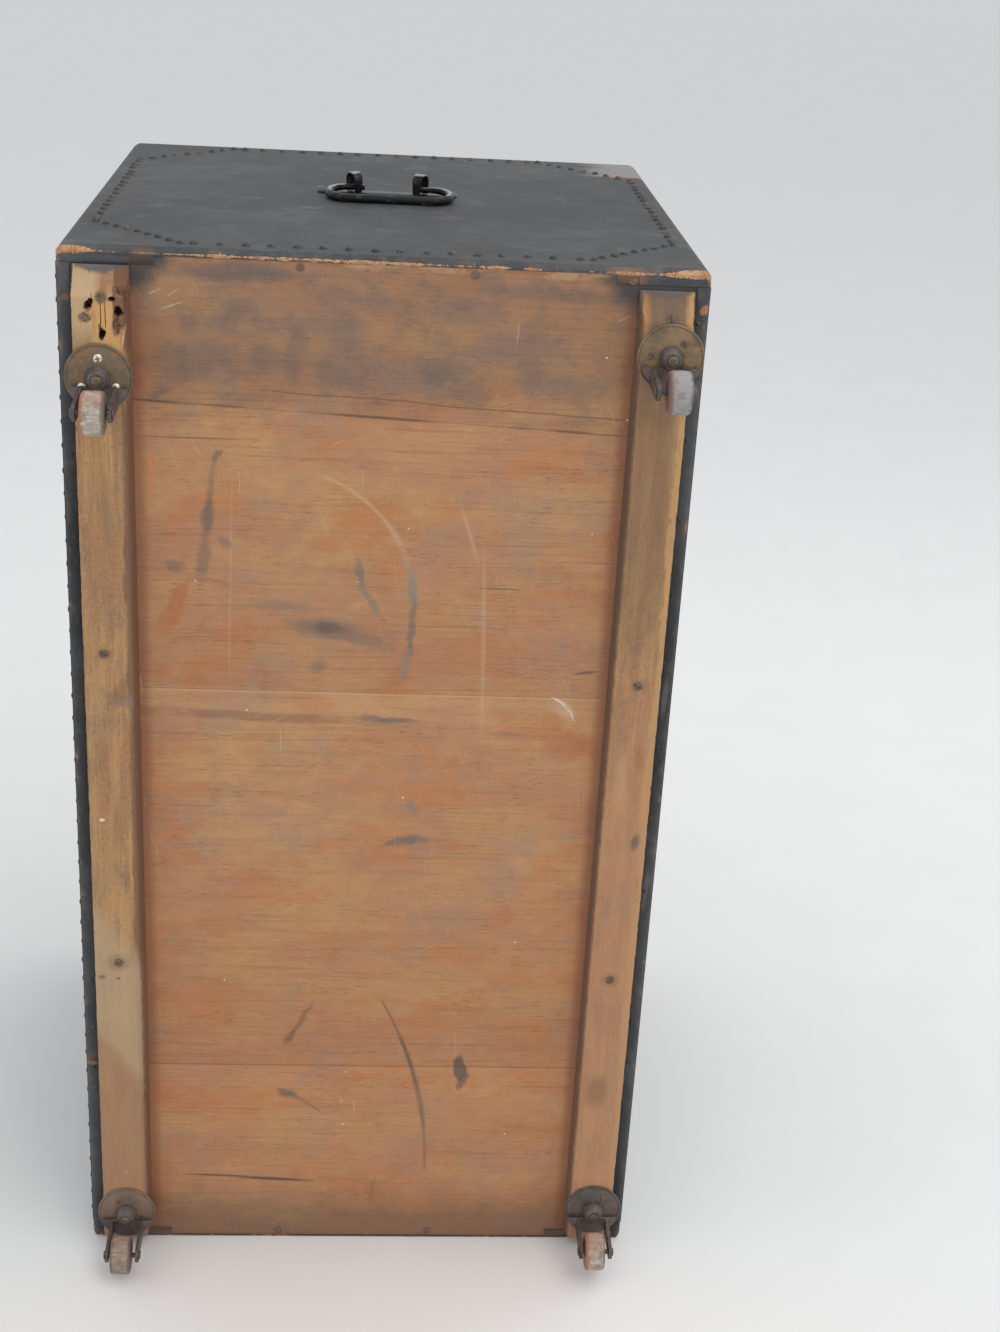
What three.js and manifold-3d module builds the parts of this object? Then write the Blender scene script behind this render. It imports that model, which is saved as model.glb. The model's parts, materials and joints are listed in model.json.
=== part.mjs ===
// A storage trunk that stands on its lower end: bare bottom boards with two battens and four
// swivel casters, a cloth-covered case, a flat hinged lid, and a bail handle on the upper end.
// Millimetres. X runs from the hinge side to the lock side, Y from the bottom to the lid, Z up.
// The origin is the centre of the lower end, which stands on the floor.

import * as THREE from 'three';
import { mergeVertices } from 'three/addons/utils/BufferGeometryUtils.js';
import Module from 'manifold-3d';

const wasm = await Module();
wasm.setup();

// Clearances shared by all the pieces
const fitGap = 0.3;
const cutOverrun = 2;

// Case
const caseHeight = 1044;
const caseWidth = 560;
const caseDepth = 554;
const longEdgeRounding = 6;
const upperEdgeRounding = 6;
const lowerEdgeRounding = 2;
const endCornerRounding = 8;
const roundingSteps = 4;
const clothThickness = 1;
const sideClothReturn = 12;
const upperClothReturn = 14;
const lowerClothReturn = 11;
const cornerWrapLength = 82;
const sideThickness = 14;
const endThickness = 18;
const boardThickness = 12;
const boardJointGap = 0.6;
const boardJointShares = [0.209, 0.61, 0.865];

// Raised binding on the upper end, with its inner corners cut at 45 degrees
const bindingThickness = 0.9;
const bindingMargin = 8;
const bindingInset = 30;
const bindingCornerLeg = 104;

// Battens, with a hollowed slope at the upper end and bevelled long edges
const battenWidth = 50;
const battenThickness = 18;
const battenSideClearance = 0.5;
const battenLowerClearance = 2;
const hingeSideBattenUpperClearance = 1;
const lockSideBattenUpperClearance = 4;
const battenSlopeLength = 24;
const battenSlopeLip = 3;
const battenSlopeSteps = 6;
const battenInnerBevel = 4.5;
const battenOuterBevel = 2;

// Casters: domed round plate, kingpin, fork, axle and wheel
const casterPlateRadius = 29.5;
const casterRimThickness = 1.6;
const casterRimBevel = 1.2;
const casterDomeRadius = 14;
const casterDomeHeight = 3.4;
const casterPlateSteps = 36;
const kingpinRadius = 3.2;
const kingpinHeadRadius = 4.6;
const kingpinHeadHeight = 1.8;
const kingpinSteps = 16;
const crownRadius = 27.5;
const crownThickness = 2.4;
const crownTopDrop = 8;
const bossFootRadius = 10.8;
const bossRadius = 9.2;
const bossTopRadius = 6.6;
const bossHeight = 11.4;
const bossSteps = 24;
const earThickness = 3.2;
const earSpan = 27;
const earTipRadius = 7.4;
const earRootLow = 25;
const axleStandoff = 45.4;
const casterTrail = 19.1;
const axleRadius = 2.5;
const axleHeadRadius = 4.4;
const axleHeadHeight = 1.6;
const axleSteps = 14;
const wheelRadius = 19;
const wheelWidth = 20;
const wheelEdgeRounding = 2.4;
const wheelSteps = 32;
const upperHingeSideCasterDrop = 108;
const upperLockSideCasterDrop = 72;
const lowerHingeSideCasterRise = 47;
const lowerLockSideCasterRise = 54;
const upperHingeSideCasterShift = -1.5;
const upperLockSideCasterShift = 4.5;
const lowerHingeSideCasterShift = 1;
const lowerLockSideCasterShift = 2.5;
const upperHingeSideWheelPlay = 0.9;
const upperLockSideWheelPlay = 2.9;
const lowerHingeSideWheelPlay = -0.9;
const lowerLockSideWheelPlay = -1.5;

// Lid
const lidThickness = 20;
const lidBoardThickness = 12;
const lidEndSetback = 4;
const lidSeam = 0.8;
const lidRounding = 3;
const lidLipDepth = 12;
const lidLipWidth = 12;
const lidLipClearance = 3;

// Hinges
const hingePlaceShares = [0.2, 0.8];
const hingeLength = 60;
const hingeLeafThickness = 1.6;
const hingeCaseLeafReach = 34;
const hingeLidLeafReach = 17;
const hingeKnuckleRadius = 4;
const hingePinRadius = 1.8;
const hingeSteps = 20;
const lidOpenDegrees = 105;
const stopLugReach = 10;
const stopLugThickness = 3;

// Lock plate and hasp
const lockPlateThickness = 3;
const lockPlateReach = 58;
const lockPlateLength = 74;
const lockPlateRimDrop = 3;
const lockNotchWidth = 13;
const lockNotchReach = 34;
const keyholeRadius = 2.6;
const keyholeSlotWidth = 2.4;
const keyholeSlotLength = 7;
const keyholeRise = 12;
const haspLength = 30;
const haspReach = 44;
const haspThickness = 2;
const haspKnuckleRadius = 3;
const haspPinRadius = 1.3;
const haspBaseLength = 46;
const haspBaseReach = 8;
const haspBaseThickness = 1.6;
const haspPinRise = 7;
const haspLugWidth = 9;
const haspLugLength = 8;
const haspLugDrop = 26;
const haspLugDepth = 2.2;
const haspSteps = 16;

// Hook catches: a hook on the case swings over a headed stud on the lid
const hookPlaceShares = [0.24, 0.76];
const hookPivotDrop = 30;
const hookThickness = 3;
const hookArmWidth = 9;
const hookEyeRadius = 8.5;
const hookTipRadius = 10;
const hookMouthHalfWidth = 7.5;
const studFootRadius = 8;
const studFootThickness = 1.2;
const studPostRadius = 3;
const studHeadRadius = 6;
const studHeadThickness = 1.8;
const studSteps = 18;

// Bail handle on the upper end. Its two strap loops are turned a little towards the front
const handleCentreY = 24;
const handlePlateLength = 137;
const handlePlateWidth = 19;
const handlePlateThickness = 2;
const handlePlateCornerCut = 5;
const loopSpacing = 65.5;
const loopHeight = 19.5;
const loopStrap = 2.2;
const loopTopWidth = 10;
const loopFootWidth = 7.5;
const loopTurnDegrees = 33;
const loopArchSteps = 10;
const bailRadius = 4.3;
const bailPinRadius = 2.8;
const bailPinOverhang = 3;
const bailSideShift = 2.4;
const bailLength = 127;
const bailReach = 50;
const bailSectionSides = 14;
const bailTurnSteps = 16;

// Colours of the finishes, with roughness and metalness
function finish(name, color, roughness, metalness) {
  const material = new THREE.MeshStandardMaterial({ color, roughness, metalness });
  material.name = name;
  return material;
}

const finishes = {
  leathercloth: () => finish('leathercloth', 0x55585c, 0.6, 0),
  boardWood: () => finish('board_wood', 0xa3754f, 0.75, 0),
  battenWood: () => finish('batten_wood', 0xb58e5c, 0.75, 0),
  caseWood: () => finish('case_wood', 0xb8966c, 0.8, 0),
  blackIron: () => finish('black_iron', 0x2b2b2d, 0.45, 0.6),
  rustyIron: () => finish('rusty_iron', 0x6b5138, 0.7, 0.5),
  wheelFibre: () => finish('wheel_fibre', 0xa8968a, 0.65, 0),
  wornBrass: () => finish('worn_brass', 0x8a7440, 0.45, 0.8),
};

// Geometry to solid and back, for cuts and joins
function toSolid(geometry) {
  const bare = geometry.clone();
  bare.deleteAttribute('normal');
  bare.deleteAttribute('uv');
  const merged = mergeVertices(bare);
  const build = (turned) => {
    const triVerts = new Uint32Array(merged.index.array);
    for (let i = 0; turned && i < triVerts.length; i += 3) {
      [triVerts[i + 1], triVerts[i + 2]] = [triVerts[i + 2], triVerts[i + 1]];
    }
    const vertProperties = merged.attributes.position.array;
    return new wasm.Manifold(new wasm.Mesh({ numProp: 3, vertProperties, triVerts }));
  };
  const solid = build(false);
  return solid.volume() > 0 ? solid : build(true);
}

function toGeometry(solid) {
  const { vertProperties, triVerts } = solid.getMesh();
  const geometry = new THREE.BufferGeometry();
  geometry.setAttribute('position', new THREE.BufferAttribute(new Float32Array(vertProperties), 3));
  geometry.setIndex(new THREE.BufferAttribute(new Uint32Array(triVerts), 1));
  geometry.computeVertexNormals();
  return geometry;
}

// Shapes placed by their limits or axes
function boxBetween(low, high) {
  const size = high.map((value, i) => value - low[i]);
  const geometry = new THREE.BoxGeometry(...size);
  geometry.translate(...low.map((value, i) => value + size[i] / 2));
  return toSolid(geometry);
}

// A turned piece: profile points are [radius, distance along the axis]
function turned(profile, steps) {
  const points = profile.map(([radius, along]) => new THREE.Vector2(radius, along));
  return new THREE.LatheGeometry(points, steps);
}

function rodAlong(axis, radius, from, to, steps) {
  const geometry = new THREE.CylinderGeometry(radius, radius, to - from, steps);
  geometry.translate(0, (from + to) / 2, 0);
  if (axis === 'x') geometry.rotateZ(-Math.PI / 2);
  if (axis === 'z') geometry.rotateX(Math.PI / 2);
  return geometry;
}

function shapeFrom(points) {
  return new THREE.Shape(points.map(([a, b]) => new THREE.Vector2(a, b)));
}

// An outline in XY drawn out along Z
function drawnUp(shape, from, to) {
  const geometry = new THREE.ExtrudeGeometry(shape, { depth: to - from, bevelEnabled: false });
  geometry.translate(0, 0, from);
  return geometry;
}

// An outline in YZ drawn out along X
function drawnAcross(shape, from, to, curveSegments) {
  const options = { depth: to - from, bevelEnabled: false, curveSegments };
  const geometry = new THREE.ExtrudeGeometry(shape, options);
  geometry.translate(0, 0, from);
  geometry.rotateX(Math.PI / 2);
  geometry.rotateZ(Math.PI / 2);
  return geometry;
}

// An outline in XZ drawn out along Y
function drawnBack(shape, from, to) {
  const geometry = new THREE.ExtrudeGeometry(shape, { depth: to - from, bevelEnabled: false });
  geometry.rotateX(Math.PI / 2);
  geometry.translate(0, to, 0);
  return geometry;
}

// A rectangle with its corners rounded. Radii run round from the low corner: the first along
// the first direction, then the far corners, and back
function roundedOutline([lowA, lowB], [highA, highB], radii) {
  const corners = [
    [lowA, lowB, 1, 1, Math.PI],
    [highA, lowB, -1, 1, -Math.PI / 2],
    [highA, highB, -1, -1, 0],
    [lowA, highB, 1, -1, Math.PI / 2],
  ];
  const points = corners.flatMap(([a, b, inA, inB, start], i) => {
    const radius = radii[i];
    if (radius <= 0) return [[a, b]];
    return Array.from({ length: roundingSteps + 1 }, (_, k) => {
      const angle = start + Math.PI / 2 * k / roundingSteps;
      return [
        a + radius * (inA + Math.cos(angle)),
        b + radius * (inB + Math.sin(angle)),
      ];
    });
  });
  return shapeFrom(points);
}

const trunk = new THREE.Group();

function addMesh(parent, name, shape, material) {
  const geometry = shape.isBufferGeometry ? shape : toGeometry(shape);
  const mesh = new THREE.Mesh(geometry, material);
  mesh.name = name;
  parent.add(mesh);
  return mesh;
}

// Derived planes of the case
const halfWidth = caseWidth / 2;
const bottomY = -caseDepth / 2;
const rimY = caseDepth / 2;
const shellStep = clothThickness + fitGap;
const woodHalfWidth = halfWidth - shellStep;
const boardFaceY = bottomY + shellStep;
const panelBottomY = boardFaceY + boardThickness + fitGap;
const woodLowZ = shellStep;
const woodHighZ = caseHeight - shellStep;
const innerHalfWidth = woodHalfWidth - sideThickness;
const innerLowZ = woodLowZ + endThickness;
const innerHighZ = woodHighZ - endThickness;

// A block cut by three rounded outlines, seen from above, from the side and from the front
function roundedBlock(low, high, aboveRadii, sideRadii, frontRadii) {
  const [lowX, lowY, lowZ] = low;
  const [highX, highY, highZ] = high;
  const above = roundedOutline([lowX, lowY], [highX, highY], aboveRadii);
  const side = roundedOutline([lowY, lowZ], [highY, highZ], sideRadii);
  const front = roundedOutline([lowX, lowZ], [highX, highZ], frontRadii);
  return toSolid(drawnUp(above, lowZ, highZ))
    .intersect(toSolid(drawnAcross(side, lowX, highX)))
    .intersect(toSolid(drawnBack(front, lowY, highY)));
}

// The block of the case, moved inwards by a step and open towards the rim
function caseEnvelope(step) {
  const long = longEdgeRounding - step;
  const corner = endCornerRounding - step;
  return roundedBlock(
    [-halfWidth + step, bottomY + step, step],
    [halfWidth - step, rimY + cutOverrun, caseHeight - step],
    [long, long, 0, 0],
    [lowerEdgeRounding - step, 0, 0, upperEdgeRounding - step],
    [corner, corner, corner, corner],
  );
}

const woodEnvelope = caseEnvelope(shellStep);

function addCaseWood() {
  const between = (low, high) => boxBetween(low, high).intersect(woodEnvelope);
  const sideLowZ = innerLowZ + fitGap;
  const sideHighZ = innerHighZ - fitGap;
  addMesh(trunk, 'lock_side_panel', between(
    [innerHalfWidth, panelBottomY, sideLowZ],
    [woodHalfWidth, rimY, sideHighZ],
  ), finishes.caseWood());
  addMesh(trunk, 'hinge_side_panel', between(
    [-woodHalfWidth, panelBottomY, sideLowZ],
    [-innerHalfWidth, rimY, sideHighZ],
  ), finishes.caseWood());
  addMesh(trunk, 'upper_end_panel', between(
    [-woodHalfWidth, panelBottomY, innerHighZ],
    [woodHalfWidth, rimY, woodHighZ],
  ), finishes.caseWood());
  addMesh(trunk, 'lower_end_panel', between(
    [-woodHalfWidth, panelBottomY, woodLowZ],
    [woodHalfWidth, rimY, innerLowZ],
  ), finishes.caseWood());
  const joints = boardJointShares.map((share) => share * caseHeight);
  const lows = [woodLowZ, ...joints.map((z) => z + boardJointGap / 2)];
  const highs = [...joints.map((z) => z - boardJointGap / 2), woodHighZ];
  lows.forEach((low, i) => {
    addMesh(trunk, `bottom_board_${i + 1}`, between(
      [-woodHalfWidth, boardFaceY, low],
      [woodHalfWidth, boardFaceY + boardThickness, highs[i]],
    ), finishes.boardWood());
  });
}

// Raised strip round the upper end, drawn as a ring with cut inner corners
function endBinding() {
  const outerX = halfWidth - bindingMargin;
  const innerX = halfWidth - bindingInset;
  const lowY = bottomY + bindingMargin;
  const innerLowY = bottomY + bindingInset;
  const highY = rimY;
  const innerHighY = rimY - bindingInset;
  const leg = bindingCornerLeg;
  const outer = shapeFrom([[-outerX, lowY], [outerX, lowY], [outerX, highY], [-outerX, highY]]);
  outer.holes.push(shapeFrom([
    [-innerX, innerLowY + leg], [-innerX, innerHighY - leg],
    [-innerX + leg, innerHighY], [innerX - leg, innerHighY],
    [innerX, innerHighY - leg], [innerX, innerLowY + leg],
    [innerX - leg, innerLowY], [-innerX + leg, innerLowY],
  ]));
  return toSolid(drawnUp(outer, caseHeight - clothThickness / 2, caseHeight + bindingThickness));
}

// Cloth over the case: a cap on each end and a sheet on each side, turned over the board edges
function addCaseCloth() {
  const farX = halfWidth + cutOverrun;
  const nearY = bottomY - cutOverrun;
  const farY = rimY;
  const shell = caseEnvelope(0).subtract(caseEnvelope(clothThickness));
  const wrapHalf = halfWidth - cornerWrapLength;
  const capBetween = (lowZ, highZ, trimLowZ, trimHighZ) => {
    const cap = shell.intersect(boxBetween([-farX, nearY, lowZ], [farX, farY, highZ]));
    const trim = boxBetween([-wrapHalf, nearY, trimLowZ], [wrapHalf, boardFaceY, trimHighZ]);
    return cap.subtract(trim);
  };
  const upperCap = capBetween(
    caseHeight - upperClothReturn, caseHeight + cutOverrun,
    caseHeight - upperClothReturn - cutOverrun, caseHeight - upperEdgeRounding,
  );
  addMesh(trunk, 'upper_end_cloth', upperCap.add(endBinding()), finishes.leathercloth());
  addMesh(trunk, 'lower_end_cloth', capBetween(
    -cutOverrun, lowerClothReturn,
    lowerEdgeRounding, lowerClothReturn + cutOverrun,
  ), finishes.leathercloth());
  const sheetLowZ = lowerClothReturn + fitGap;
  const sheetHighZ = caseHeight - upperClothReturn - fitGap;
  addMesh(trunk, 'lock_side_cloth', shell.intersect(
    boxBetween([halfWidth - sideClothReturn, nearY, sheetLowZ], [farX, farY, sheetHighZ]),
  ), finishes.leathercloth());
  addMesh(trunk, 'hinge_side_cloth', shell.intersect(
    boxBetween([-farX, nearY, sheetLowZ], [-halfWidth + sideClothReturn, farY, sheetHighZ]),
  ), finishes.leathercloth());
}

// Battens stand on the boards. The section's foot is wide, its face narrowed by the bevels
const battenFootY = boardFaceY - fitGap;
const battenFaceY = battenFootY - battenThickness;
const battenCentreX = halfWidth - sideClothReturn - battenSideClearance - battenWidth / 2;
const battenLowZ = lowerClothReturn + battenLowerClearance;

function battenSolid(side, upperClearance) {
  const battenHighZ = caseHeight - upperClothReturn - upperClearance;
  const outerX = side * (battenCentreX + battenWidth / 2);
  const innerX = side * (battenCentreX - battenWidth / 2);
  const section = toSolid(drawnUp(shapeFrom([
    [innerX, battenFootY],
    [outerX, battenFootY],
    [outerX - side * battenOuterBevel, battenFaceY],
    [innerX + side * battenInnerBevel, battenFaceY],
  ]), battenLowZ, battenHighZ));
  const slopeDrop = battenThickness - battenSlopeLip;
  const outline = [[battenFootY, battenLowZ], [battenFaceY, battenLowZ]];
  for (let i = 0; i <= battenSlopeSteps; i += 1) {
    const share = i / battenSlopeSteps;
    const y = battenFaceY + slopeDrop * (1 - (1 - share) ** 2);
    outline.push([y, battenHighZ - battenSlopeLength * (1 - share)]);
  }
  outline.push([battenFootY, battenHighZ]);
  const x = [innerX, outerX].sort((a, b) => a - b);
  const profile = toSolid(drawnAcross(shapeFrom(outline), x[0] - cutOverrun, x[1] + cutOverrun));
  return section.intersect(profile);
}

function addBattens() {
  const lockSide = battenSolid(1, lockSideBattenUpperClearance);
  const hingeSide = battenSolid(-1, hingeSideBattenUpperClearance);
  addMesh(trunk, 'lock_side_batten', lockSide, finishes.battenWood());
  addMesh(trunk, 'hinge_side_batten', hingeSide, finishes.battenWood());
}

// Caster pieces are made about the swivel axis: +Y points out from the batten, Z up
const plateTop = fitGap + casterDomeHeight;
const crownLow = plateTop + fitGap;
const crownTop = crownLow + crownThickness;
const bossTop = crownLow + bossHeight;
const kingpinBore = kingpinRadius + fitGap;
const forkHalfWidth = earSpan / 2 + earThickness;

function casterPlate() {
  return turned([
    [kingpinBore, fitGap],
    [casterPlateRadius, fitGap],
    [casterPlateRadius, fitGap + casterRimThickness - casterRimBevel / 2],
    [casterPlateRadius - casterRimBevel, fitGap + casterRimThickness],
    [casterDomeRadius, fitGap + casterDomeHeight],
    [kingpinBore, fitGap + casterDomeHeight],
    [kingpinBore, fitGap],
  ], casterPlateSteps);
}

function kingpin() {
  const headLow = bossTop + fitGap;
  return turned([
    [0, fitGap],
    [kingpinRadius, fitGap],
    [kingpinRadius, headLow],
    [kingpinHeadRadius, headLow],
    [kingpinHeadRadius, headLow + kingpinHeadHeight / 2],
    [kingpinRadius, headLow + kingpinHeadHeight],
    [0, headLow + kingpinHeadHeight],
  ], kingpinSteps);
}

// One ear in its side view: a root on the crown, drawn out to a round tip about the axle
function earOutline() {
  const tip = earTipRadius;
  const shape = new THREE.Shape();
  shape.moveTo(crownLow, -crownTopDrop);
  shape.lineTo(axleStandoff, -casterTrail + tip);
  shape.absarc(axleStandoff, -casterTrail, tip, Math.PI / 2, -Math.PI / 2, true);
  shape.lineTo(crownLow, -earRootLow);
  return shape;
}

function fork() {
  const halfDisc = toSolid(rodAlong('y', crownRadius, crownLow, crownTop, casterPlateSteps)).subtract(
    boxBetween(
      [-crownRadius - cutOverrun, crownLow - cutOverrun, -crownTopDrop],
      [crownRadius + cutOverrun, crownTop + cutOverrun, crownRadius + cutOverrun],
    ),
  );
  const boss = toSolid(turned([
    [0, crownLow],
    [bossFootRadius, crownLow],
    [bossFootRadius, crownTop],
    [bossRadius, crownLow + bossHeight / 2],
    [(bossRadius + bossTopRadius) / 2, bossTop - crownThickness / 2],
    [bossTopRadius, bossTop],
    [0, bossTop],
  ], bossSteps));
  let solid = halfDisc.add(boss);
  for (const side of [-1, 1]) {
    const x = [side * earSpan / 2, side * forkHalfWidth].sort((a, b) => a - b);
    solid = solid.add(toSolid(drawnAcross(earOutline(), x[0], x[1], bossSteps / 2)));
  }
  const bore = rodAlong('y', kingpinBore, crownLow - cutOverrun, bossTop + cutOverrun, kingpinSteps);
  const axleBore = rodAlong(
    'x', axleRadius + fitGap, -forkHalfWidth - cutOverrun, forkHalfWidth + cutOverrun, axleSteps,
  );
  axleBore.translate(0, axleStandoff, -casterTrail);
  return solid.subtract(toSolid(bore)).subtract(toSolid(axleBore));
}

function axle() {
  const shankHalf = forkHalfWidth + fitGap;
  const half = shankHalf + axleHeadHeight;
  const geometry = turned([
    [0, -half],
    [axleHeadRadius - axleHeadHeight / 2, -half],
    [axleHeadRadius, -half + axleHeadHeight / 2],
    [axleHeadRadius, -shankHalf],
    [axleRadius, -shankHalf],
    [axleRadius, shankHalf],
    [axleHeadRadius, shankHalf],
    [axleHeadRadius, half - axleHeadHeight / 2],
    [axleHeadRadius - axleHeadHeight / 2, half],
    [0, half],
  ], axleSteps);
  geometry.rotateZ(-Math.PI / 2);
  geometry.translate(0, axleStandoff, -casterTrail);
  return geometry;
}

function wheel(shift) {
  const half = wheelWidth / 2;
  const bore = axleRadius + fitGap;
  const edge = wheelEdgeRounding;
  const geometry = turned([
    [bore, -half],
    [wheelRadius - edge, -half],
    [wheelRadius - edge / 3, -half + edge / 3],
    [wheelRadius, -half + edge],
    [wheelRadius, half - edge],
    [wheelRadius - edge / 3, half - edge / 3],
    [wheelRadius - edge, half],
    [bore, half],
    [bore, -half],
  ], wheelSteps);
  geometry.rotateZ(-Math.PI / 2);
  geometry.translate(shift, axleStandoff, -casterTrail);
  return geometry;
}

function addCasters() {
  const places = [
    ['upper_hinge_side', -battenCentreX + upperHingeSideCasterShift,
      caseHeight - upperHingeSideCasterDrop, upperHingeSideWheelPlay],
    ['upper_lock_side', battenCentreX + upperLockSideCasterShift,
      caseHeight - upperLockSideCasterDrop, upperLockSideWheelPlay],
    ['lower_hinge_side', -battenCentreX + lowerHingeSideCasterShift,
      lowerHingeSideCasterRise, lowerHingeSideWheelPlay],
    ['lower_lock_side', battenCentreX + lowerLockSideCasterShift,
      lowerLockSideCasterRise, lowerLockSideWheelPlay],
  ];
  for (const [place, x, z, shift] of places) {
    const group = new THREE.Group();
    group.position.set(x, battenFaceY, z);
    group.rotation.z = Math.PI;
    trunk.add(group);
    addMesh(group, `${place}_caster_plate`, casterPlate(), finishes.rustyIron());
    addMesh(group, `${place}_kingpin`, kingpin(), finishes.rustyIron());
    addMesh(group, `${place}_fork`, fork(), finishes.rustyIron());
    addMesh(group, `${place}_axle`, axle(), finishes.rustyIron());
    addMesh(group, `${place}_wheel`, wheel(-shift), finishes.wheelFibre());
  }
}

// Lid: a board with a cloth cover over its face and edges, and a lip that drops inside the rim
const lidLowY = rimY + lidSeam;
const lidHighY = lidLowY + lidThickness;
const lidLowZ = lidEndSetback;
const lidHighZ = caseHeight - lidEndSetback;
const lidBoardHalf = halfWidth - shellStep;
const lipHalf = innerHalfWidth - lidLipClearance;
const lipLowZ = innerLowZ + lidLipClearance;
const lipHighZ = innerHighZ - lidLipClearance;

function lidEnvelope(step) {
  const edge = lidRounding - step;
  const corner = endCornerRounding - step;
  return roundedBlock(
    [-halfWidth + step, lidLowY, lidLowZ + step],
    [halfWidth - step, lidHighY - step, lidHighZ - step],
    [0, 0, edge, edge],
    [0, edge, edge, 0],
    [corner, corner, corner, corner],
  );
}

function addLid() {
  const cloth = lidEnvelope(0).subtract(lidEnvelope(clothThickness));
  addMesh(trunk, 'lid_cloth', cloth, finishes.leathercloth());
  const boardFoot = lidHighY - shellStep - lidBoardThickness;
  addMesh(trunk, 'lid_board', boxBetween(
    [-lidBoardHalf, boardFoot, lidLowZ + shellStep],
    [lidBoardHalf, lidHighY, lidHighZ - shellStep],
  ).intersect(lidEnvelope(shellStep)), finishes.caseWood());
  const frameOuter = boxBetween(
    [-lidBoardHalf, lidLowY, lidLowZ + shellStep],
    [lidBoardHalf, boardFoot - fitGap, lidHighZ - shellStep],
  ).intersect(lidEnvelope(shellStep));
  const lipOuter = boxBetween([-lipHalf, rimY - lidLipDepth, lipLowZ], [lipHalf, lidHighY, lipHighZ]);
  const hollow = boxBetween(
    [-lipHalf + lidLipWidth, rimY - lidLipDepth - cutOverrun, lipLowZ + lidLipWidth],
    [lipHalf - lidLipWidth, lidHighY, lipHighZ - lidLipWidth],
  );
  const ceiling = boxBetween(
    [-halfWidth, boardFoot - fitGap, -cutOverrun],
    [halfWidth, lidHighY + cutOverrun, caseHeight + cutOverrun],
  );
  const lip = frameOuter.add(lipOuter).subtract(hollow).subtract(ceiling);
  addMesh(trunk, 'lid_frame', lip, finishes.caseWood());
}

// Hinges on the -X side: case leaf with the two outer knuckles, lid leaf with the middle one
const hingeAxisX = -halfWidth - fitGap - hingeKnuckleRadius;
const hingeAxisY = rimY + lidSeam / 2;
const leafOuterX = hingeAxisX + hingeKnuckleRadius - hingeLeafThickness;
const leafInnerX = hingeAxisX + hingeKnuckleRadius;

function hingeLeaf(direction, reach, knuckles, extra) {
  const bore = hingePinRadius + fitGap;
  const start = hingeAxisY + direction * (hingeKnuckleRadius + fitGap);
  const span = [start, hingeAxisY + direction * reach].sort((a, b) => a - b);
  let solid = boxBetween([leafOuterX, span[0], 0], [leafInnerX, span[1], hingeLength]);
  for (const [from, to] of knuckles) {
    const barrel = rodAlong('z', hingeKnuckleRadius, from, to, hingeSteps);
    barrel.translate(hingeAxisX, hingeAxisY, 0);
    const web = [hingeAxisY, start].sort((a, b) => a - b);
    solid = solid
      .add(toSolid(barrel))
      .add(boxBetween([leafOuterX, web[0], from], [leafInnerX, web[1], to]));
  }
  if (extra) solid = solid.add(extra);
  const hole = rodAlong('z', bore, -cutOverrun, hingeLength + cutOverrun, hingeSteps);
  hole.translate(hingeAxisX, hingeAxisY, 0);
  return solid.subtract(toSolid(hole));
}

// The lug meets the case leaf when the lid has turned through its opening angle
function stopLug(from, to) {
  const faceX = leafOuterX - hingeAxisX - fitGap;
  const geometry = new THREE.BoxGeometry(stopLugThickness, stopLugReach, to - from);
  geometry.translate(faceX - stopLugThickness / 2, -stopLugReach / 2, (from + to) / 2);
  geometry.rotateZ(THREE.MathUtils.degToRad(-lidOpenDegrees));
  geometry.translate(hingeAxisX, hingeAxisY, 0);
  return toSolid(geometry);
}

function addHinges() {
  hingePlaceShares.forEach((share, i) => {
    const group = new THREE.Group();
    group.position.z = share * caseHeight - hingeLength / 2;
    trunk.add(group);
    const name = i === 0 ? 'lower' : 'upper';
    const third = hingeLength / 3;
    const middle = [third + fitGap, 2 * third - fitGap];
    addMesh(group, `${name}_hinge_case_leaf`, hingeLeaf(
      -1, hingeCaseLeafReach, [[0, third], [2 * third, hingeLength]],
    ), finishes.blackIron());
    addMesh(group, `${name}_hinge_lid_leaf`, hingeLeaf(
      1, hingeLidLeafReach, [middle], stopLug(...middle),
    ), finishes.blackIron());
    const pin = rodAlong('z', hingePinRadius, 0, hingeLength, hingeSteps);
    pin.translate(hingeAxisX, hingeAxisY, 0);
    addMesh(group, `${name}_hinge_pin`, pin, finishes.blackIron());
  });
}

// Lock plate on the +X side, and the hasp that hangs over its notch from the lid
const sideFaceX = halfWidth + fitGap;
const lockCentreZ = caseHeight / 2;
const lockFaceX = sideFaceX + lockPlateThickness;
const lockHighY = rimY - lockPlateRimDrop;
const lockLowY = lockHighY - lockPlateReach;
const haspInnerX = lockFaceX + fitGap;
const haspAxisX = sideFaceX + haspKnuckleRadius;
const haspAxisY = lidLowY + haspPinRise;

function lockPlate() {
  const plate = boxBetween(
    [sideFaceX, lockLowY, lockCentreZ - lockPlateLength / 2],
    [lockFaceX, lockHighY, lockCentreZ + lockPlateLength / 2],
  );
  const notch = boxBetween(
    [sideFaceX - cutOverrun, lockHighY - lockNotchReach, lockCentreZ - lockNotchWidth / 2],
    [lockFaceX + cutOverrun, lockHighY + cutOverrun, lockCentreZ + lockNotchWidth / 2],
  );
  const keyY = lockLowY + keyholeRise;
  const hole = rodAlong('x', keyholeRadius, sideFaceX - cutOverrun, lockFaceX + cutOverrun, haspSteps);
  hole.translate(0, keyY, lockCentreZ);
  const slot = boxBetween(
    [sideFaceX - cutOverrun, keyY - keyholeSlotLength, lockCentreZ - keyholeSlotWidth / 2],
    [lockFaceX + cutOverrun, keyY, lockCentreZ + keyholeSlotWidth / 2],
  );
  return plate.subtract(notch).subtract(toSolid(hole)).subtract(slot);
}

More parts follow.
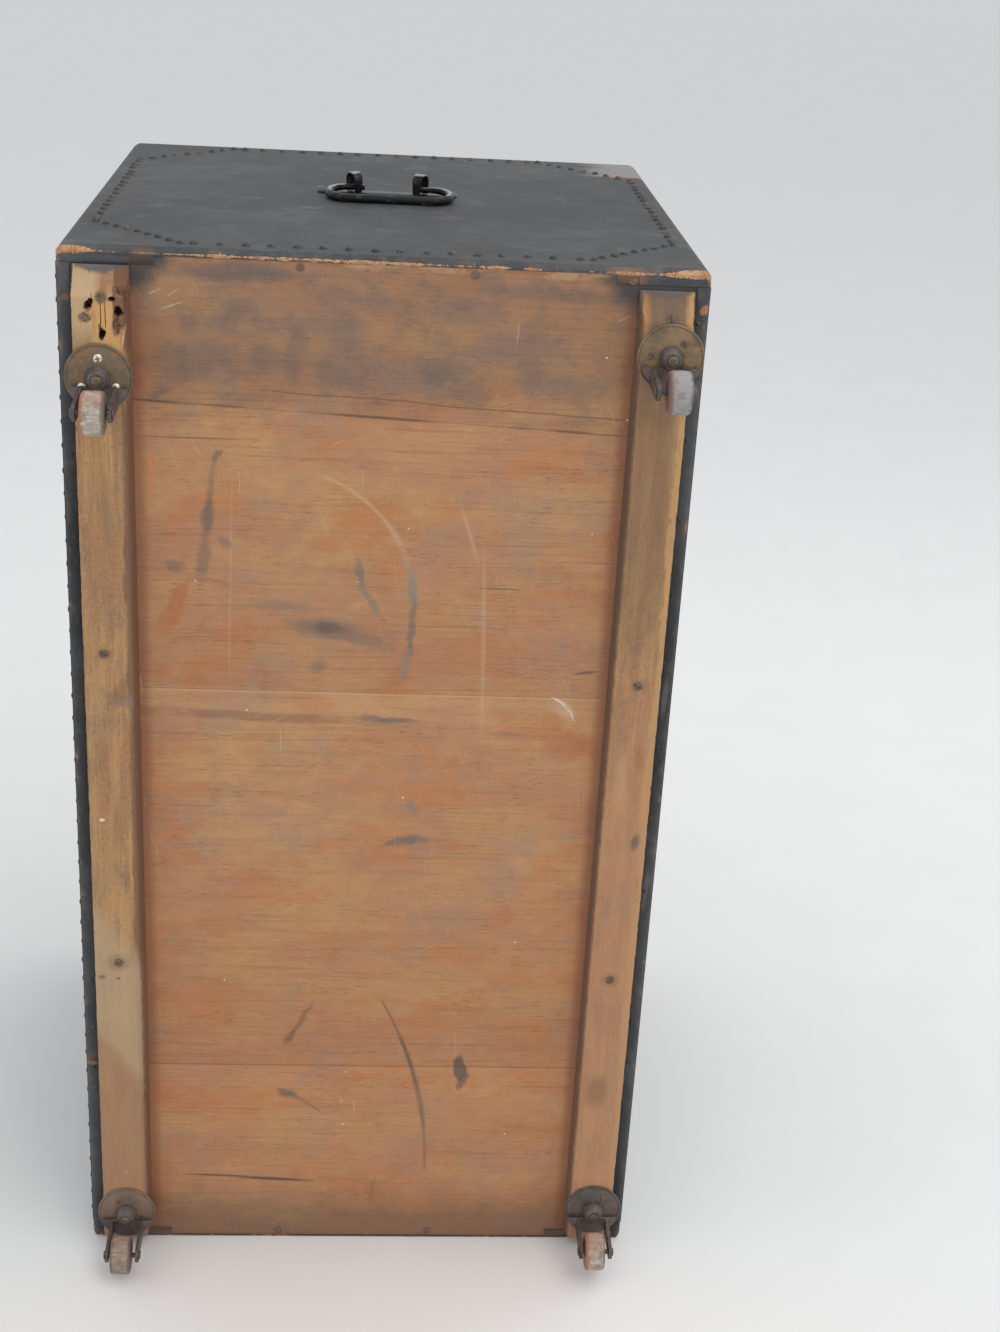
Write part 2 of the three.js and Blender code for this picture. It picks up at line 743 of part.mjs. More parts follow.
function haspBarrel(from, to) {
  const barrel = rodAlong('z', haspKnuckleRadius, from, to, haspSteps);
  barrel.translate(haspAxisX, haspAxisY, 0);
  return toSolid(barrel);
}

function haspBore() {
  const low = lockCentreZ - haspBaseLength;
  const high = lockCentreZ + haspBaseLength;
  const bore = rodAlong('z', haspPinRadius + fitGap, low, high, haspSteps);
  bore.translate(haspAxisX, haspAxisY, 0);
  return toSolid(bore);
}

function haspBase() {
  const half = haspBaseLength / 2;
  const inner = haspLength / 2 + fitGap;
  const low = lockCentreZ - half;
  const high = lockCentreZ + half;
  const startY = haspAxisY + haspKnuckleRadius + fitGap;
  const leafX = sideFaceX + haspBaseThickness;
  let solid = boxBetween([sideFaceX, startY, low], [leafX, startY + haspBaseReach, high]);
  for (const [from, to] of [[low, lockCentreZ - inner], [lockCentreZ + inner, high]]) {
    solid = solid
      .add(haspBarrel(from, to))
      .add(boxBetween([sideFaceX, haspAxisY, from], [leafX, startY, to]));
  }
  return solid.subtract(haspBore());
}

function hasp() {
  const half = haspLength / 2;
  const low = lockCentreZ - half;
  const high = lockCentreZ + half;
  const plate = boxBetween(
    [haspInnerX, haspAxisY - haspReach, low],
    [haspInnerX + haspThickness, haspAxisY, high],
  );
  const lugY = haspAxisY - haspLugDrop;
  const lug = boxBetween(
    [haspInnerX - haspLugDepth, lugY - haspLugLength / 2, lockCentreZ - haspLugWidth / 2],
    [haspInnerX + haspThickness / 2, lugY + haspLugLength / 2, lockCentreZ + haspLugWidth / 2],
  );
  return plate.add(haspBarrel(low, high)).add(lug).subtract(haspBore());
}

function addLock() {
  addMesh(trunk, 'lock_plate', lockPlate(), finishes.wornBrass());
  addMesh(trunk, 'hasp_base', haspBase(), finishes.wornBrass());
  addMesh(trunk, 'hasp', hasp(), finishes.wornBrass());
  const half = haspBaseLength / 2;
  const pin = rodAlong('z', haspPinRadius, lockCentreZ - half, lockCentreZ + half, haspSteps);
  pin.translate(haspAxisX, haspAxisY, 0);
  addMesh(trunk, 'hasp_pin', pin, finishes.wornBrass());
}

// Hook catches on the +X side. A stud's outline is shared by the pivot and the keeper
const hookLowX = sideFaceX + studFootThickness + fitGap;
const hookHighX = hookLowX + hookThickness;
const hookPivotY = rimY - hookPivotDrop;
const keeperY = lidLowY + lidThickness / 2;
const hookArm = keeperY - hookPivotY;

function headedStud() {
  const headLow = hookHighX + fitGap;
  const geometry = turned([
    [0, sideFaceX],
    [studFootRadius, sideFaceX],
    [studFootRadius, sideFaceX + studFootThickness],
    [studPostRadius, sideFaceX + studFootThickness],
    [studPostRadius, headLow],
    [studHeadRadius, headLow],
    [studHeadRadius, headLow + studHeadThickness / 2],
    [studPostRadius, headLow + studHeadThickness],
    [0, headLow + studHeadThickness],
  ], studSteps);
  geometry.rotateZ(-Math.PI / 2);
  return geometry;
}

// The hook hangs from its pivot, its mouth open towards the lid
function hook() {
  const disc = (radius, z) => {
    const rod = rodAlong('x', radius, hookLowX, hookHighX, studSteps);
    rod.translate(0, 0, z);
    return toSolid(rod);
  };
  const hole = (radius, z) => {
    const rod = rodAlong('x', radius, hookLowX - cutOverrun, hookHighX + cutOverrun, studSteps);
    rod.translate(0, 0, z);
    return toSolid(rod);
  };
  const arm = boxBetween(
    [hookLowX, -hookArmWidth / 2, -hookArm],
    [hookHighX, hookArmWidth / 2, 0],
  );
  const clear = studPostRadius + 2 * fitGap;
  const mouthY = hookTipRadius + cutOverrun;
  const mouth = toSolid(drawnAcross(shapeFrom([
    [0, -hookArm - clear],
    [mouthY, -hookArm - clear],
    [mouthY, -hookArm + hookMouthHalfWidth],
    [0, -hookArm + clear],
  ]), hookLowX - cutOverrun, hookHighX + cutOverrun));
  return disc(hookEyeRadius, 0)
    .add(arm)
    .add(disc(hookTipRadius, -hookArm))
    .subtract(mouth)
    .subtract(hole(clear, -hookArm))
    .subtract(hole(studPostRadius + fitGap, 0));
}

function addHooks() {
  hookPlaceShares.forEach((share, i) => {
    const name = i === 0 ? 'lower' : 'upper';
    const group = new THREE.Group();
    group.position.set(0, hookPivotY, share * caseHeight);
    trunk.add(group);
    addMesh(group, `${name}_hook_pivot`, headedStud(), finishes.blackIron());
    addMesh(group, `${name}_hook`, hook(), finishes.blackIron());
    const keeper = addMesh(group, `${name}_hook_keeper`, headedStud(), finishes.blackIron());
    keeper.position.y = hookArm;
  });
}

// The bail's thin ends turn in through the loops and lie on one line along X
const handleFootZ = caseHeight + fitGap;
const handleTopZ = handleFootZ + handlePlateThickness;
const loopFootZ = handleTopZ + fitGap;
const bailAxisZ = handleTopZ + fitGap + bailRadius;
const bailRestDrop = bailAxisZ - caseHeight - fitGap - bailRadius;
const bailDroop = Math.asin(bailRestDrop / bailReach);
const loopTurn = THREE.MathUtils.degToRad(loopTurnDegrees);
const pinHighShare = (bailAxisZ + bailPinRadius - loopFootZ) / loopHeight;
const loopWidthAtPin = loopFootWidth + (loopTopWidth - loopFootWidth) * pinHighShare;
const loopOpeningHalf = bailPinRadius / Math.cos(loopTurn)
  + Math.tan(loopTurn) * loopWidthAtPin / 2 + fitGap;
const loopOuterHalf = loopOpeningHalf + loopStrap;

function handlePlate() {
  const half = handlePlateLength / 2;
  const side = handlePlateWidth / 2;
  const cut = handlePlateCornerCut;
  const outline = [
    [-half + cut, -side], [half - cut, -side], [half, -side + cut], [half, side - cut],
    [half - cut, side], [-half + cut, side], [-half, side - cut], [-half, -side + cut],
  ];
  const geometry = drawnUp(shapeFrom(outline), handleFootZ, handleTopZ);
  geometry.translate(0, handleCentreY, 0);
  return geometry;
}

// A strap bent into an arch over the bail's end, narrower at its feet than at its top
function strapLoop(side) {
  const archZ = loopFootZ + loopHeight - loopOuterHalf;
  const topZ = loopFootZ + loopHeight;
  const outline = [[loopOuterHalf, loopFootZ]];
  for (let i = 0; i <= loopArchSteps; i += 1) {
    const angle = Math.PI * i / loopArchSteps;
    outline.push([loopOuterHalf * Math.cos(angle), archZ + loopOuterHalf * Math.sin(angle)]);
  }
  outline.push([-loopOuterHalf, loopFootZ], [-loopOpeningHalf, loopFootZ]);
  for (let i = loopArchSteps; i >= 0; i -= 1) {
    const angle = Math.PI * i / loopArchSteps;
    outline.push([loopOpeningHalf * Math.cos(angle), archZ + loopOpeningHalf * Math.sin(angle)]);
  }
  outline.push([loopOpeningHalf, loopFootZ]);
  const band = toSolid(drawnAcross(shapeFrom(outline), -loopTopWidth / 2, loopTopWidth / 2));
  const front = toSolid(drawnBack(shapeFrom([
    [-loopFootWidth / 2, loopFootZ], [loopFootWidth / 2, loopFootZ],
    [loopTopWidth / 2, topZ], [-loopTopWidth / 2, topZ],
  ]), -loopOuterHalf - cutOverrun, loopOuterHalf + cutOverrun));
  const geometry = toGeometry(band.intersect(front));
  geometry.rotateZ(side * -loopTurn);
  geometry.translate(side * loopSpacing / 2, handleCentreY, 0);
  return geometry;
}

// One bar from pin to pin: each end swells through a half ellipse into the long front bar
function bail() {
  const turnStart = loopSpacing / 2 + loopTopWidth / 2 + bailSideShift + fitGap;
  const turnReach = bailLength / 2 - bailRadius - turnStart;
  const pinEnd = loopSpacing / 2 - loopTopWidth / 2 - bailPinOverhang;
  const half = bailReach / 2;
  const stations = [[pinEnd, 0, bailPinRadius]];
  for (let i = 0; i <= bailTurnSteps; i += 1) {
    const share = i / bailTurnSteps;
    const angle = Math.PI * (1 / 2 - share);
    const x = turnStart + turnReach * Math.cos(angle);
    const swell = Math.min(1, 2 * share);
    const radius = bailPinRadius + (bailRadius - bailPinRadius) * swell;
    stations.push([x, half * (Math.sin(angle) - 1), radius]);
  }
  const mirrored = stations.map(([x, y, radius]) => [-x, y, radius]).reverse();
  const bar = [...stations, ...mirrored].map(([x, y, radius]) => [x + bailSideShift, y, radius]);
  const up = new THREE.Vector3(0, 0, 1);
  const centres = bar.map(([x, y]) => new THREE.Vector3(x, y, 0));
  return tubeThroughRings(centres.map((centre, i) => {
    const before = centres[Math.max(i - 1, 0)];
    const after = centres[Math.min(i + 1, centres.length - 1)];
    const across = up.clone().cross(after.clone().sub(before).normalize());
    return Array.from({ length: bailSectionSides }, (_, k) => {
      const angle = 2 * Math.PI * k / bailSectionSides;
      return centre.clone()
        .addScaledVector(across, bar[i][2] * Math.cos(angle))
        .addScaledVector(up, bar[i][2] * Math.sin(angle));
    });
  }));
}

// A closed tube over rings of equal count, with a flat cap on each end
function tubeThroughRings(rings) {
  const count = rings[0].length;
  const vertices = rings.flat().flatMap((vertex) => vertex.toArray());
  const faces = [];
  for (let i = 0; i + 1 < rings.length; i += 1) {
    for (let k = 0; k < count; k += 1) {
      const a = i * count + k;
      const b = i * count + (k + 1) % count;
      faces.push(a, b, a + count, b, b + count, a + count);
    }
  }
  const last = (rings.length - 1) * count;
  for (let k = 1; k + 1 < count; k += 1) {
    faces.push(0, k + 1, k, last, last + k, last + k + 1);
  }
  const geometry = new THREE.BufferGeometry();
  geometry.setAttribute('position', new THREE.Float32BufferAttribute(vertices, 3));
  geometry.setIndex(faces);
  return geometry;
}

function addHandle() {
  addMesh(trunk, 'handle_plate', handlePlate(), finishes.blackIron());
  addMesh(trunk, 'hinge_side_handle_loop', strapLoop(-1), finishes.blackIron());
  addMesh(trunk, 'lock_side_handle_loop', strapLoop(1), finishes.blackIron());
  const group = new THREE.Group();
  group.position.set(0, handleCentreY, bailAxisZ);
  group.rotation.x = bailDroop;
  trunk.add(group);
  addMesh(group, 'bail', toSolid(bail()), finishes.blackIron());
}

addCaseWood();
addCaseCloth();
addBattens();
addCasters();
addLid();
addHinges();
addLock();
addHooks();
addHandle();

export default trunk;
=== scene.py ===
"""The looks of an upright storage trunk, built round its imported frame.

The trunk stands on its lower end. Its bare bottom boards face -Y, its lid faces +Y, its hinges are
on -X and its lock on +X. Each class below makes one sub-assembly or one finish. Sizes are
millimetres until a mesh is finished, and then metres, in the frame's own place. Angles are degrees.
"""

import json
import logging
import math
import random
from dataclasses import dataclass, field, replace
from enum import Enum
from typing import Any, Callable, Iterable, Sequence

import bmesh
import bpy
from mathutils import Matrix, Vector, noise


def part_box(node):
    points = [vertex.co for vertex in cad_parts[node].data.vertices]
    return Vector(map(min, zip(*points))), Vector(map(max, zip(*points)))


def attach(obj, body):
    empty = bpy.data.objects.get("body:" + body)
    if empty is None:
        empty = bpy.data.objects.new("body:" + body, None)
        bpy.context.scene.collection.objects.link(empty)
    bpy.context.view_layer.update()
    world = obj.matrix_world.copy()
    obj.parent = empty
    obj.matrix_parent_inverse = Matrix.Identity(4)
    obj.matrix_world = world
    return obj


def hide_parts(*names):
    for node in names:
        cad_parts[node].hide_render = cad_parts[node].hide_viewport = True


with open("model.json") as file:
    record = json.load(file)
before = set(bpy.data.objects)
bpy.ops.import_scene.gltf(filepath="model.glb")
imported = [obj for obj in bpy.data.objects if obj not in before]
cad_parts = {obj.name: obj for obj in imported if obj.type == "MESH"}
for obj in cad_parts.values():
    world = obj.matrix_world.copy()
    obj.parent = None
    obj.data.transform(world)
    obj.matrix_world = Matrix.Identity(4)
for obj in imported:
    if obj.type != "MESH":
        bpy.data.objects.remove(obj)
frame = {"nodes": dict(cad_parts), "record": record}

log = logging.getLogger("trunk")

MM = 0.001
PER_MM = 1000.0
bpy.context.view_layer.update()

Colour = tuple[float, float, float]
Point = Sequence[float]
Outline = Sequence[tuple[float, float]]
Mesh = bmesh.types.BMesh

UP: Point = (0, 0, 1)
FRONT: Point = (0, -1, 0)
BACK: Point = (0, 1, 0)
WORM_HOLE: Colour = (0.02, 0.014, 0.01)


class Slot(Enum):
    """The record's material slots, one named for each piece."""

    LEATHERCLOTH = "leathercloth"
    BOARD_WOOD = "board_wood"
    BATTEN_WOOD = "batten_wood"
    BLACK_IRON = "black_iron"
    RUSTY_IRON = "rusty_iron"
    WHEEL_FIBRE = "wheel_fibre"
    WORN_BRASS = "worn_brass"


class Recess(Enum):
    """What a screwdriver turns a screw by."""

    SLOT = "slot"
    CROSS = "cross"


def box_of(node: str) -> tuple[Vector, Vector]:
    """Return the lowest and highest corner of a frame node's box in millimetres."""
    low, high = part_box(node)
    return low * PER_MM, high * PER_MM


def body_of(node: str) -> str:
    """Return the name of the body that a frame node belongs to."""
    bodies = frame["record"]["behaviour"]["bodies"]
    return next(body for body, members in bodies.items() if node in members)


class Wire:
    """A shader node's output that can stand in a written sum."""

    def __init__(self, shade: "Shade", socket: bpy.types.NodeSocket) -> None:
        """Keep the output and the material that it belongs to."""
        self.shade = shade
        self.socket = socket

    def __add__(self, other: "Wire | float") -> "Wire":
        """Return self + other."""
        return self.shade.maths("ADD", self, other)

    def __radd__(self, other: float) -> "Wire":
        """Return other + self."""
        return self.shade.maths("ADD", other, self)

    def __sub__(self, other: "Wire | float") -> "Wire":
        """Return self - other."""
        return self.shade.maths("SUBTRACT", self, other)

    def __rsub__(self, other: float) -> "Wire":
        """Return other - self."""
        return self.shade.maths("SUBTRACT", other, self)

    def __mul__(self, other: "Wire | float") -> "Wire":
        """Return self * other."""
        return self.shade.maths("MULTIPLY", self, other)

    def __rmul__(self, other: float) -> "Wire":
        """Return other * self."""
        return self.shade.maths("MULTIPLY", other, self)

    def __abs__(self) -> "Wire":
        """Return the size of self without its sign."""
        return self.shade.maths("ABSOLUTE", self, 0)


@dataclass(frozen=True)
class Mark:
    """A stain or scuff: an oval in the plane of the bottom face, tilted up from +X."""

    x: float
    z: float
    half_length: float
    half_width: float
    tilt: float
    tint: Colour
    strength: float
    soft: float = 0.8

    def touches(self, low: float, high: float) -> bool:
        """Return whether the mark may reach the part between two heights."""
        reach = max(self.half_length, self.half_width) + 5
        return low - reach < self.z < high + reach


@dataclass(frozen=True)
class Arc:
    """A curved scratch: the right part of a circle between two heights, which fades past them."""

    FADE = 14

    x: float
    z: float
    radius: float
    half_width: float
    low_z: float
    high_z: float
    tint: Colour
    strength: float

    def touches(self, low: float, high: float) -> bool:
        """Return whether the scratch may reach the part between two heights."""
        return low < self.high_z + self.FADE and self.low_z - self.FADE < high


class Shade:
    """A material being made: the colour laid so far, and patterns placed in millimetres."""

    FLAT = 10000
    THIN = 3

    def __init__(self, name: str) -> None:
        """Start an empty material and split its place into three lengths.

        Args:
            name: The material's name.
        """
        self.colour: Wire | Colour = (0.8, 0.8, 0.8)
        self.material = bpy.data.materials.new(name)
        self.material.use_nodes = True
        self.tree = self.material.node_tree
        self.tree.nodes.clear()
        metres = self.node("ShaderNodeTexCoord", output="Object")
        self.place = self.vector("SCALE", {0: metres, "Scale": PER_MM})
        lengths = [self.node("ShaderNodeSeparateXYZ", {0: self.place}, axis) for axis in "XYZ"]
        self.x, self.y, self.z = lengths

    def node(
        self,
        kind: str,
        inputs: dict[int | str, Any] | None = None,
        output: int | str = 0,
        **settings: Any,
    ) -> Wire:
        """Add a node, set it up and feed its sockets.

        Args:
            kind: The node's type.
            inputs: Values or wires by socket name or number.
            output: The socket to return.
            **settings: The node's own settings, which are set first.

        Returns:
            The output asked for.
        """
        made = self.tree.nodes.new(kind)
        for name, value in settings.items():
            setattr(made, name, value)
        for key, value in (inputs or {}).items():
            socket = made.inputs[key]
            if isinstance(value, Wire):
                self.tree.links.new(value.socket, socket)
            elif socket.type == "RGBA":
                socket.default_value = (*value, 1)
            else:
                socket.default_value = value
        return Wire(self, made.outputs[output])

    def maths(self, operation: str, first: Wire | float, second: Wire | float) -> Wire:
        """Return the result of one Math node on two values or wires."""
        return self.node("ShaderNodeMath", {0: first, 1: second}, operation=operation)

    def vector(self, operation: str, inputs: dict[int | str, Any], output: int | str = 0) -> Wire:
        """Return the result of one Vector Math node."""
        return self.node("ShaderNodeVectorMath", inputs, output, operation=operation)

    def least(self, first: Wire | float, second: Wire | float) -> Wire:
        """Return the smaller of two values."""
        return self.maths("MINIMUM", first, second)

    def most(self, first: Wire | float, second: Wire | float) -> Wire:
        """Return the larger of two values."""
        return self.maths("MAXIMUM", first, second)

    def rise(self, value: Wire, start: float, end: float) -> Wire:
        """Return a soft step from 0 where the value is start to 1 where it is end."""
        inputs = {"Value": value, "From Min": start, "From Max": end}
        return self.node("ShaderNodeMapRange", inputs, interpolation_type="SMOOTHSTEP")

    def between(self, value: Wire, low: float, high: float, soft: float) -> Wire:
        """Return 1 between two values, fading to 0 over a width past each of them."""
        return self.rise(value, low - soft, low) * self.rise(value, high + soft, high)

    def mapped(
        self, place: Wire, location: Point, scale: Point, tilt: float = 0, kind: str = "POINT"
    ) -> Wire:
        """Return a place moved, scaled and turned about Y, in radians, by a Mapping node."""
        inputs = {"Vector": place, "Location": location, "Rotation": (0, tilt, 0), "Scale": scale}
        return self.node("ShaderNodeMapping", inputs, vector_type=kind)

    def clouds(
        self,
        size: float | Point,
        detail: float = 3.0,
        rough: float = 0.55,
        warp: float = 0.0,
        shift: float = 0.0,
        place: Wire | None = None,
        output: int = 0,
    ) -> Wire:
        """Give cloudy noise.

        Args:
            size: The size of its features in millimetres, one for all axes or one for each.
            detail: How many finer layers it has.
            rough: How strong the finer layers are.
            warp: How much it is twisted.
            shift: A number that gives another pattern of the same kind.
            place: The place to read, the surface's own by default.
            output: 0 for one value, 1 for three.

        Returns:
            The noise, mostly between 0.3 and 0.7.
        """
        sizes = (size,) * 3 if isinstance(size, (int, float)) else size
        local = self.mapped(place or self.place, (shift,) * 3, [1 / each for each in sizes])
        inputs = {
            "Vector": local,
            "Scale": 1,
            "Detail": detail,
            "Roughness": rough,
            "Distortion": warp,
        }
        return self.node("ShaderNodeTexNoise", inputs, output)

    def dots(self, pitch: float, radius: float, chance: float, shift: float = 0) -> Wire:
        """Give scattered small dots.

        Args:
            pitch: The size of the cells that may hold one dot each, in millimetres.
            radius: A dot's radius in millimetres.
            chance: The share of cells that hold a dot.
            shift: A number that gives another scatter.

        Returns:
            The dots' mask, between 0 and 1.
        """
        inputs = {"Vector": self.mapped(self.place, (shift,) * 3, (1 / pitch,) * 3), "Scale": 1}
        away = self.node("ShaderNodeTexVoronoi", inputs, "Distance")
        draw = self.node("ShaderNodeTexVoronoi", inputs, "Color")
        luck = self.node("ShaderNodeSeparateColor", {0: draw}, "Red")
        share = radius / pitch
        return self.rise(away, share, share * 0.6) * self.rise(luck, chance, chance * 0.9)

    def bent(self, sway: Wire, axis: int) -> Wire:
        """Return the place moved along one axis, so that the grain wanders."""
        step = self.node("ShaderNodeCombineXYZ", {axis: sway})
        return self.vector("ADD", {0: self.place, 1: step})

    def warped(self, size: float, reach: float) -> Wire:
        """Give the place moved about by noise, so that drawn shapes get uneven edges.

        Args:
            size: The noise's size in millimetres.
            reach: How far a point may move in millimetres.

        Returns:
            The moved place.
        """
        swirl = self.clouds(size, 5, 0.6, output=1)
        centred = self.vector("SUBTRACT", {0: swirl, 1: (0.5, 0.5, 0.5)})
        step = self.vector("SCALE", {0: centred, "Scale": 2 * reach})
        return self.vector("ADD", {0: self.place, 1: step})

    def mix(self, mask: Wire | float, under: Wire | Colour, over: Wire | Colour) -> Wire:
        """Return one colour with another over it where the mask is 1."""
        return self.node("ShaderNodeMix", {0: mask, 6: under, 7: over}, 2, data_type="RGBA")

    def lay(self, mask: Wire | float, tint: Wire | Colour) -> None:
        """Lay a tint over the material's colour where the mask is 1."""
        self.colour = self.mix(mask, self.colour, tint)

    def darken(self, amount: Wire) -> None:
        """Multiply the material's colour by a number, which may also be above 1.

        Args:
            amount: The number.
        """
        grey = self.node("ShaderNodeCombineColor", {0: amount, 1: amount, 2: amount})
        inputs = {0: 1, 6: self.colour, 7: grey}
        self.colour = self.node(
            "ShaderNodeMix", inputs, 2, data_type="RGBA", blend_type="MULTIPLY"
        )

    def oval(self, mark: Mark, place: Wire) -> Wire:
        """Give the mask of one mark.

        Args:
            mark: The mark's place and size.
            place: The place to read, which may be warped.

        Returns:
            The mask, which is the mark's strength inside it.
        """
        scale = (mark.half_length, self.FLAT, mark.half_width)
        tilt = -math.radians(mark.tilt)
        local = self.mapped(place, (mark.x, 0, mark.z), scale, tilt, "TEXTURE")
        away = self.vector("LENGTH", {0: local}, "Value")
        return self.rise(away, 1 + 0.35 * mark.soft, 1 - 0.65 * mark.soft) * mark.strength

    def bow(self, arc: Arc) -> Wire:
        """Give the mask of one curved scratch.

        Args:
            arc: The scratch's circle and ends.

        Returns:
            The mask, which is the scratch's strength on it.
        """
        scale = (1, self.FLAT, 1)
        local = self.mapped(self.place, (arc.x, 0, arc.z), scale, kind="TEXTURE")
        away = self.vector("LENGTH", {0: local}, "Value")
        ring = self.rise(abs(away - arc.radius), arc.half_width * 1.3, 0)
        ends = self.between(self.z, arc.low_z, arc.high_z, arc.FADE)
        return ring * ends * self.rise(self.x, arc.x, arc.x + 1) * arc.strength

    def stain(self, marks: Iterable[Mark | Arc], place: Wire) -> None:
        """Lay marks over the material's colour.

        Args:
            marks: The marks, in the order that they are laid.
            place: The warped place for the broad marks; the thin ones stay straight.
        """
        for mark in marks:
            if isinstance(mark, Arc):
                mask = self.bow(mark)
            else:
                mask = self.oval(mark, self.place if mark.half_width < self.THIN else place)
            self.lay(mask, mark.tint)

    def surface(
        self, roughness: Wire | float, bumps: Sequence[tuple[Wire, float]] = (), **sockets: Any
    ) -> None:
        """Close the material with its shader and output.

        Args:
            roughness: The roughness.
            bumps: Heights from 0 to 1, each with its depth in millimetres.
            **sockets: More values of the shader.
        """
        inputs = {"Base Color": self.colour, "Roughness": roughness, **sockets}
        for height, depth in bumps:
            bump = {"Height": height, "Distance": depth * MM, "Strength": 1}
            if "Normal" in inputs:
                bump["Normal"] = inputs["Normal"]
            inputs["Normal"] = self.node("ShaderNodeBump", bump, "Normal")
        shader = self.node("ShaderNodeBsdfPrincipled", inputs)
        output = self.tree.nodes.new("ShaderNodeOutputMaterial")
        self.tree.links.new(shader.socket, output.inputs["Surface"])


@dataclass(frozen=True)
class Finish:
    """A finish that makes its own material."""

    name: str = ""

    @property
    def title(self) -> str:
        """Return the material's name."""
        return "_".join(filter(None, (type(self).__name__, self.name)))

    def made(self) -> bpy.types.Material:
        """Return a new material with this finish.

        Returns:
            The material.
        """
        shade = Shade(self.title)
        self.paint(shade)
        return shade.material

    def paint(self, shade: Shade) -> None:
        """Lay the finish's colours and close the material."""
        raise NotImplementedError


